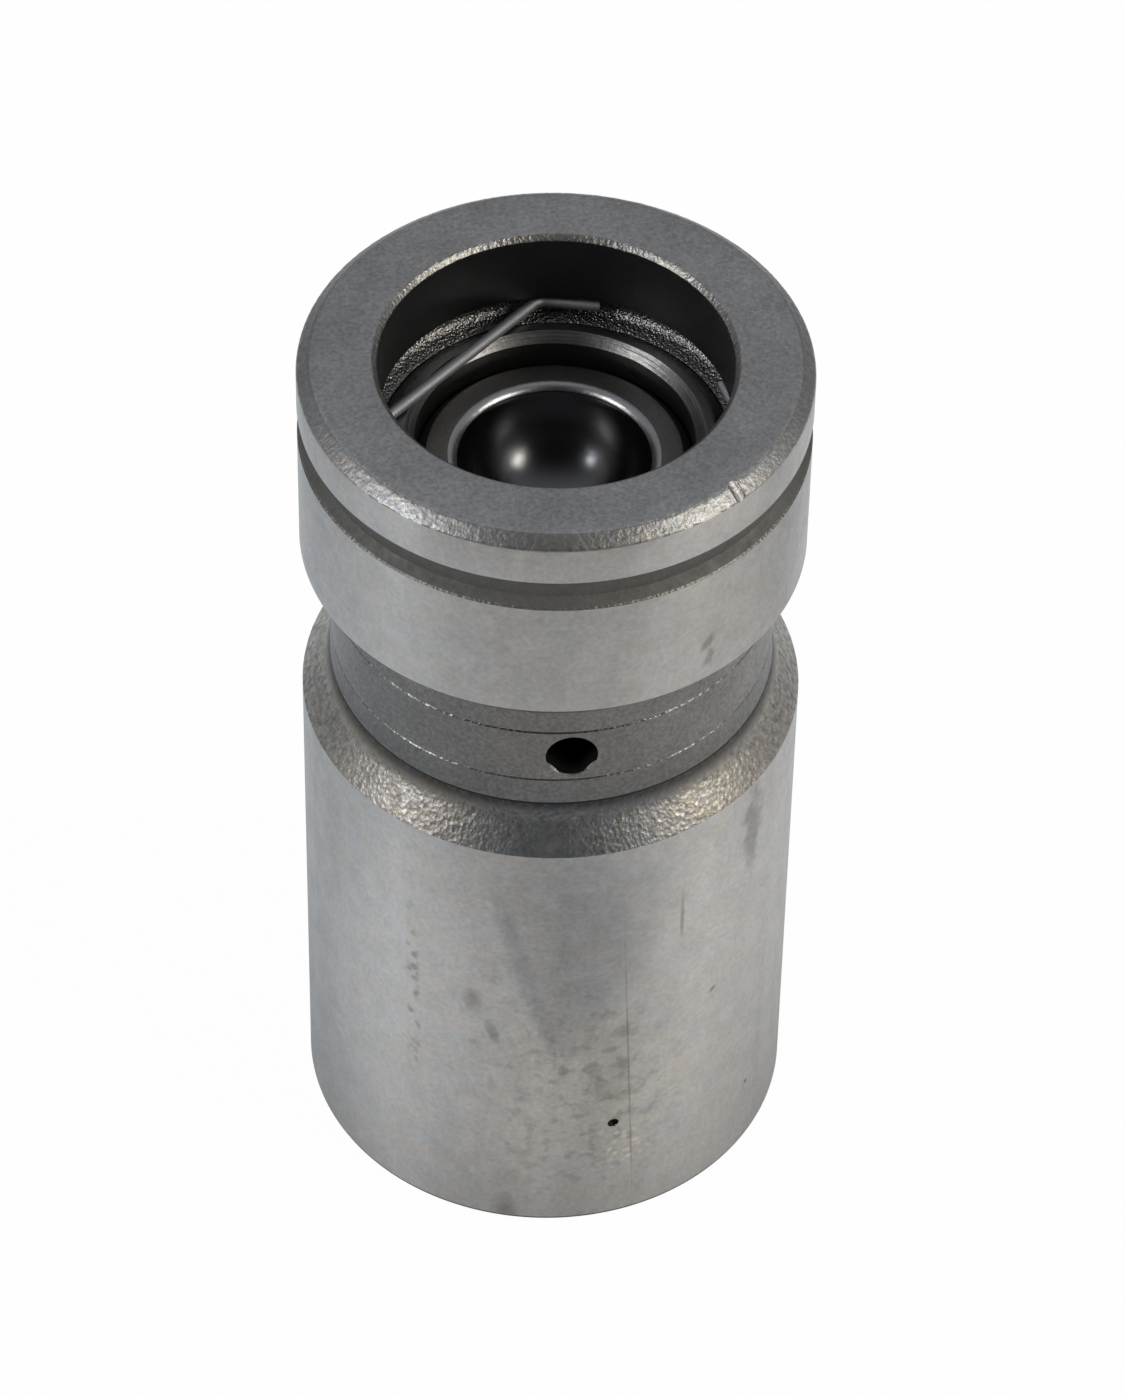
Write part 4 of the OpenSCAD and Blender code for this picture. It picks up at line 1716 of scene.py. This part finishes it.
@dataclass
class BallRetainer:
    """Pressed cage that holds the ball and its spring under the plunger.

    Attributes:
        radius: Radius of the flange.
        low: Height of its underside.
        top: Height of the flange's upper face.
        cup_r: Outer radius of the cup.
        sheet: Thickness of the sheet.
        hole_r: Radius of the hole in its floor.
        bend: Fillet of the wide bends.
        edge: Fillet of the other edges.
        windows: Number of windows in the cup.
        window_w: Width of a window.
        window_margin: Height that is left below and above a window.
        steps: Steps in a full turn.
        finish: Finish of the sheet.
    """

    radius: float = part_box("ball_retainer")[1].x * PER_METRE
    low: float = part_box("ball_retainer")[0].z * PER_METRE
    top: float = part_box("ball_retainer")[1].z * PER_METRE
    cup_r: float = 2.9
    sheet: float = 0.4
    hole_r: float = 0.8
    bend: float = 0.35
    edge: float = 0.08
    windows: int = 3
    window_w: float = 1.6
    window_margin: float = 0.5
    steps: int = 144
    finish: Steel = Steel(
        "Pressed sheet", (0.48, 0.48, 0.46), roughness=0.3, grain=6.0, grain_depth=0.003, lay=(2.0, 2.0),
        lay_depth=0.002, patches=0.14,
    )

    def section(self) -> list[Point]:
        """Outline of the bent sheet, closed on itself.

        Returns:
            Distance from the axis and height of each point.
        """
        inner_r = self.cup_r - self.sheet
        floor, flange = self.low + self.sheet, self.top - self.sheet
        return outline([
            Corner(self.hole_r, self.low),
            Corner(self.cup_r, self.low, fillet=self.bend, rows=2),
            Corner(self.cup_r, flange, fillet=self.edge, rows=4),
            Corner(self.radius, flange, fillet=self.edge, rows=3),
            Corner(self.radius, self.top, fillet=self.edge),
            Corner(inner_r, self.top, fillet=self.bend, rows=3),
            Corner(inner_r, floor, fillet=self.edge, rows=4),
            Corner(self.hole_r, floor, fillet=self.edge, rows=2),
            Corner(self.hole_r, self.low),
        ])

    def build(self) -> Workpiece:
        """Turn the cup, punch its windows and dress it.

        Returns:
            The finished cage.
        """
        piece = turned("Cage", self.section(), self.steps)
        low = self.low + self.sheet + self.window_margin
        high = self.top - self.sheet - self.window_margin
        shape = Matrix.Diagonal((self.cup_r * 2, self.window_w, high - low))
        for i in range(self.windows):
            punch = Workpiece("punch", bpy.ops.mesh.primitive_cube_add, size=MM, location=(MM / 2, 0, 0))
            turn = Matrix.Rotation(math.tau * i / self.windows, 3, "Z")
            piece.cut([punch.place(turn @ shape, Vector((0, 0, (low + high) / 2)))])
        piece.finish(self.finish)
        piece.smooth()
        return piece


@dataclass
class CoilSpring:
    """Round wire wound into a coil that a joint presses.

    Attributes:
        node: Solid that the spring stands for.
        name: Name of the piece.
        coil_r: Radius of the coil at the middle of the wire.
        wire_d: Diameter of the wire.
        stops: Turns and heights between which the wire climbs evenly.
        steps: Steps in a turn.
        finish: Finish of the wire.
    """

    node: str
    name: str
    coil_r: float
    wire_d: float
    stops: tuple[Point, ...]
    steps: int = 40
    finish: Steel = Steel(
        "Spring wire", (0.42, 0.41, 0.4), roughness=0.32, grain=8.0, grain_depth=0.002, lay=(6.0, 6.0),
        lay_depth=0.002, patches=0.12,
    )

    def build(self) -> Workpiece:
        """Wind and dress the wire.

        Returns:
            The finished spring.
        """
        count = round(self.stops[-1][0] * self.steps)
        turns = [k / self.steps for k in range(count + 1)]
        heights = np.interp(turns, *zip(*self.stops))
        route = [
            Vector((self.coil_r * math.cos(math.tau * turn), self.coil_r * math.sin(math.tau * turn), z))
            for turn, z in zip(turns, heights)
        ]
        piece = drawn(self.name, route, self.wire_d)
        piece.finish(self.finish)
        piece.smooth()
        return piece

    def press(self, piece: Workpiece) -> None:
        """Give the coil a mesh of its own where a joint presses its solid.

        Args:
            piece: The finished spring, riding on its body.
        """
        for joint in frame["record"]["behaviour"]["joints"]:
            for rule in joint.get("deforming_nodes", []):
                if rule["node"] == self.node:
                    base = rule["fixed_end_z_m"]
                    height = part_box(self.node)[1].z - base
                    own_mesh(piece.object)


@dataclass(frozen=True)
class Lamp:
    """A soft lamp.

    Attributes:
        name: Name of the lamp.
        azimuth: Side that it stands on, from the camera towards the right.
        elevation: Height above the horizon.
        distance: Distance from the lifter, in metres.
        size: Width and height, in metres.
        radiance: Brightness of its face.
        colour: Colour of its light.
    """

    name: str
    azimuth: float
    elevation: float
    distance: float
    size: Point
    radiance: float
    colour: Colour

    def light(self, target: Vector, front: float) -> None:
        """Set the lamp up.

        Args:
            target: Point that it faces, in metres.
            front: Angle at which the camera stands.
        """
        side = math.radians(self.azimuth + front)
        rise = math.radians(self.elevation)
        way = Vector((math.sin(side) * math.cos(rise), -math.cos(side) * math.cos(rise), math.sin(rise)))
        bpy.ops.object.light_add(type="AREA", location=target + way * self.distance)
        lamp = bpy.context.object
        lamp.name = self.name
        lamp.rotation_euler = way.to_track_quat("Z", "Y").to_euler()
        lamp.data.shape = "RECTANGLE"
        lamp.data.size, lamp.data.size_y = self.size
        lamp.data.energy = self.radiance * math.pi * self.size[0] * self.size[1]
        lamp.data.color = self.colour
        lamp.visible_camera = False


@dataclass
class Studio:
    """Pale floor, soft lamps and plain surroundings that are darker behind the camera, with painted light
    and a painted shadow in the floor's glow that the metal mirrors.

    Attributes:
        floor_size: Side of the floor, in metres.
        floor_drop: How far it lies under the foot, in millimetres.
        floor_grey: Its grey where it takes light and shadow.
        shown_white: Share of plain white in what the camera sees of it.
        mirrored_share: Share of its glow in what the metal mirrors.
        mirrored_white: Brightness of that glow.
        painted_light_lean: How far painted light in that glow rises towards the back right.
        lean_reach: Distance to either side over which it rises, in metres.
        lean_way: Share of X and of Y in the direction of that rise.
        painted_pool: Distances between which a painted pool of light in the glow falls off, in metres.
        painted_pool_edge: Share of the glow that is left there.
        painted_contact_shadow: Distances between which a painted shadow of the lifter darkens the glow
            towards the foot, in metres.
        contact_shade: Share of the glow that this painted shadow takes away.
        front: Angle at which the camera stands.
        target: Point that the lamps face, in metres.
        lamps: The lamps.
        warm_side: Side on which painted warm lamp light lies on the mirrored floor.
        painted_warm_light: Tint of that painted light there.
        painted_cool_light: Tint of painted cool lamp light on the other side.
        cool_sky: Colour of the surroundings.
        horizon: Brightness of the surroundings at the horizon.
        overhead: Brightness of the surroundings overhead.
        rise_reach: Heights on a unit sphere between which it changes.
        front_dark: Share of the brightness that is lost behind the camera.
        front_reach: How far a direction points to the camera where that loss starts and is full.
    """

    floor_size: float = 3.0
    floor_drop: float = 0.02
    floor_grey: float = 0.8
    shown_white: float = 0.98
    mirrored_share: float = 0.9
    mirrored_white: float = 0.91
    painted_light_lean: float = 0.28
    lean_reach: float = 0.03
    lean_way: float = 0.7
    painted_pool: Point = (0.06, 0.35)
    painted_pool_edge: float = 0.42
    painted_contact_shadow: Point = (0.026, 0.009)
    contact_shade: float = 0.42
    front: float = FRONT
    target: Vector = Vector((0, 0, 0.03))
    lamps: tuple[Lamp, ...] = (
        Lamp("Right lamp", 67, 30, 0.6, (0.3, 0.27), 5.4, (1.0, 0.94, 0.83)),
        Lamp("Left lamp", -65, 29, 0.6, (0.23, 0.22), 7.8, (1.0, 0.98, 0.955)),
        Lamp("Right spot", 67, 41, 0.6, (0.13, 0.12), 10.0, (1.0, 0.96, 0.9)),
        Lamp("Left spot", -65, 41, 0.6, (0.085, 0.085), 11.0, (0.92, 0.96, 1.0)),
    )
    warm_side: float = 33.0
    painted_warm_light: Colour = (1.025, 1.0, 0.973)
    painted_cool_light: Colour = (0.95, 1.0, 1.045)
    cool_sky: Colour = (0.778, 0.796, 0.83)
    horizon: float = 0.28
    overhead: float = 0.45
    rise_reach: Point = (0.05, 0.65)
    front_dark: float = 0.95
    front_reach: Point = (-0.2, 0.52)

    def floor(self) -> None:
        """Lay the floor, which shows white and keeps a soft shadow, and whose glow in the metal's
        reflections carries painted light and a painted shadow.
        """
        floor = Workpiece(
            "Floor", bpy.ops.mesh.primitive_plane_add, size=self.floor_size,
            location=(0, 0, -self.floor_drop * MM),
        )
        material = bpy.data.materials.new("Pale floor")
        tree = ShaderTree(material)
        camera = tree.node("ShaderNodeLightPath", {}, {}, "Is Camera Ray")
        outputs = camera.socket.node.outputs
        glossy = Value(tree, outputs["Is Glossy Ray"])
        through = Value(tree, outputs["Is Transmission Ray"])
        mirrored = glossy + through
        share = camera * self.shown_white + mirrored * self.mirrored_share
        x, y, _ = tree.axes()
        distance = (x * x + y * y) ** 0.5
        reach = distance * MM
        # Painted pool of light in the mirrored glow, with a painted shadow of the lifter round its foot
        painted_pool = 1.0 - tree.step(reach, *self.painted_pool) * (1.0 - self.painted_pool_edge)
        painted_pool = painted_pool * (1.0 - tree.step(reach, *self.painted_contact_shadow) * self.contact_shade)
        # Painted light in the mirrored glow that rises towards the back right
        lean = tree.step((x + y) * (self.lean_way * MM), -self.lean_reach, self.lean_reach) - 0.5
        strength = camera + mirrored * painted_pool * (self.mirrored_white + lean * self.painted_light_lean)
        # Painted warm lamp light on one side of the mirrored floor and painted cool light on the other
        side = math.radians(self.warm_side)
        warmth = (x * math.sin(side) - y * math.cos(side)) / distance
        tint = tree.blend(tree.step(warmth, -1.0, 1.0), self.painted_cool_light, self.painted_warm_light)
        tint = tree.blend(camera, tint, WHITE)
        grey = (self.floor_grey, self.floor_grey, self.floor_grey, 1.0)
        matt = tree.node("ShaderNodeBsdfDiffuse", {}, {"Color": grey})
        glow = tree.node("ShaderNodeEmission", {}, {"Color": tint, "Strength": strength})
        mixed = tree.node("ShaderNodeMixShader", {}, {0: share, 1: matt, 2: glow})
        tree.node("ShaderNodeOutputMaterial", {}, {"Surface": mixed})
        floor.object.data.materials.append(material)

    def sky(self) -> None:
        """Make the surroundings, which show white and light the lifter softly."""
        world = bpy.data.worlds.new("Studio")
        bpy.context.scene.world = world
        tree = ShaderTree(world)
        way = tree.node("ShaderNodeTexCoord", {}, {}, "Generated")
        parts = tree.node("ShaderNodeSeparateXYZ", {}, {0: way}, 2)
        rise = tree.step(parts, *self.rise_reach)
        side = math.radians(self.front)
        camera_way = (math.sin(side), -math.cos(side), 0.0)
        dot = {"operation": "DOT_PRODUCT"}
        facing = tree.node("ShaderNodeVectorMath", dot, {0: way, 1: camera_way}, "Value")
        shade = 1.0 - tree.step(facing, *self.front_reach) * self.front_dark
        tone = (self.horizon + rise * (self.overhead - self.horizon)) * shade
        camera = tree.node("ShaderNodeLightPath", {}, {}, "Is Camera Ray")
        strength = tone + camera * (1.0 - tone)
        tint = tree.blend(camera, self.cool_sky, WHITE)
        glow = tree.node("ShaderNodeBackground", {}, {"Color": tint, "Strength": strength})
        tree.node("ShaderNodeOutputWorld", {}, {"Surface": glow})

    def build(self) -> None:
        """Set up floor, lamps and surroundings."""
        self.floor()
        self.sky()
        for lamp in self.lamps:
            lamp.light(self.target, self.front)
        bpy.context.scene.view_settings.view_transform = "Standard"


@dataclass
class Viewpoint:
    """Camera at the photograph's place.

    Attributes:
        distance: Distance from the axis, in metres.
        height: Height above the floor, in metres.
        pitch: How far it looks down, in radians.
        yaw: How far it looks to the right of the axis, in radians.
        roll: How far it is rolled, in radians.
        front: Angle at which it stands.
        lens: Focal length.
        sensor: Width of the sensor.
        nearest: Nearest distance that it shows, in metres.
    """

    distance: float = 0.18941
    height: float = 0.22195
    pitch: float = 0.8105
    yaw: float = 0.0027
    roll: float = 0.0199
    front: float = FRONT
    lens: float = 163.56
    sensor: float = 36.0
    nearest: float = 0.01

    def build(self) -> None:
        """Set the camera up."""
        right = Vector((math.cos(self.yaw), -math.sin(self.yaw), 0))
        ahead = Vector((math.sin(self.yaw), math.cos(self.yaw), 0))
        forward = ahead * math.cos(self.pitch) - Vector((0, 0, math.sin(self.pitch)))
        up = ahead * math.sin(self.pitch) + Vector((0, 0, math.cos(self.pitch)))
        across = right * math.cos(self.roll) + up * math.sin(self.roll)
        upright = up * math.cos(self.roll) - right * math.sin(self.roll)
        turn = Matrix((across, upright, -forward)).transposed().to_4x4()
        swing = Matrix.Rotation(math.radians(self.front), 4, "Z")
        stand = Matrix.Translation((0, -self.distance, self.height))
        bpy.ops.object.camera_add()
        camera = bpy.context.object
        camera.name = "Camera"
        camera.matrix_world = swing @ stand @ turn
        camera.data.lens = self.lens
        camera.data.sensor_width = self.sensor
        camera.data.clip_start = self.nearest
        bpy.context.scene.camera = camera


PLUNGER_SPRING = CoilSpring(
    "plunger_spring", "Plunger_spring", 4.85, 0.9, ((0, 5.97), (1, 6.906), (5, 15.194), (6, 16.13)),
)
BALL_SPRING = CoilSpring(
    "check_ball_spring", "Ball_spring", 1.2, 0.25, ((0, 12.338), (3.5, 14.013)),
)


def main() -> None:
    """Build the studio, the camera and every piece."""
    logging.basicConfig(level=logging.INFO, format="%(message)s")
    Studio().build()
    Viewpoint().build()
    pieces = {
        "lifter_body": LifterBody(),
        "retaining_clip": RetainingClip(),
        "plunger": Plunger(),
        "pushrod_seat": PushrodSocket(),
        "metering_disc": MeteringDisc(),
        "check_ball": CheckBall(),
        "ball_retainer": BallRetainer(),
    }
    for node, maker in pieces.items():
        maker.build().hand_over(node)
    for spring in (PLUNGER_SPRING, BALL_SPRING):
        wound = spring.build()
        wound.hand_over(spring.node)
        spring.press(wound)


if __name__ == "__main__":
    main()
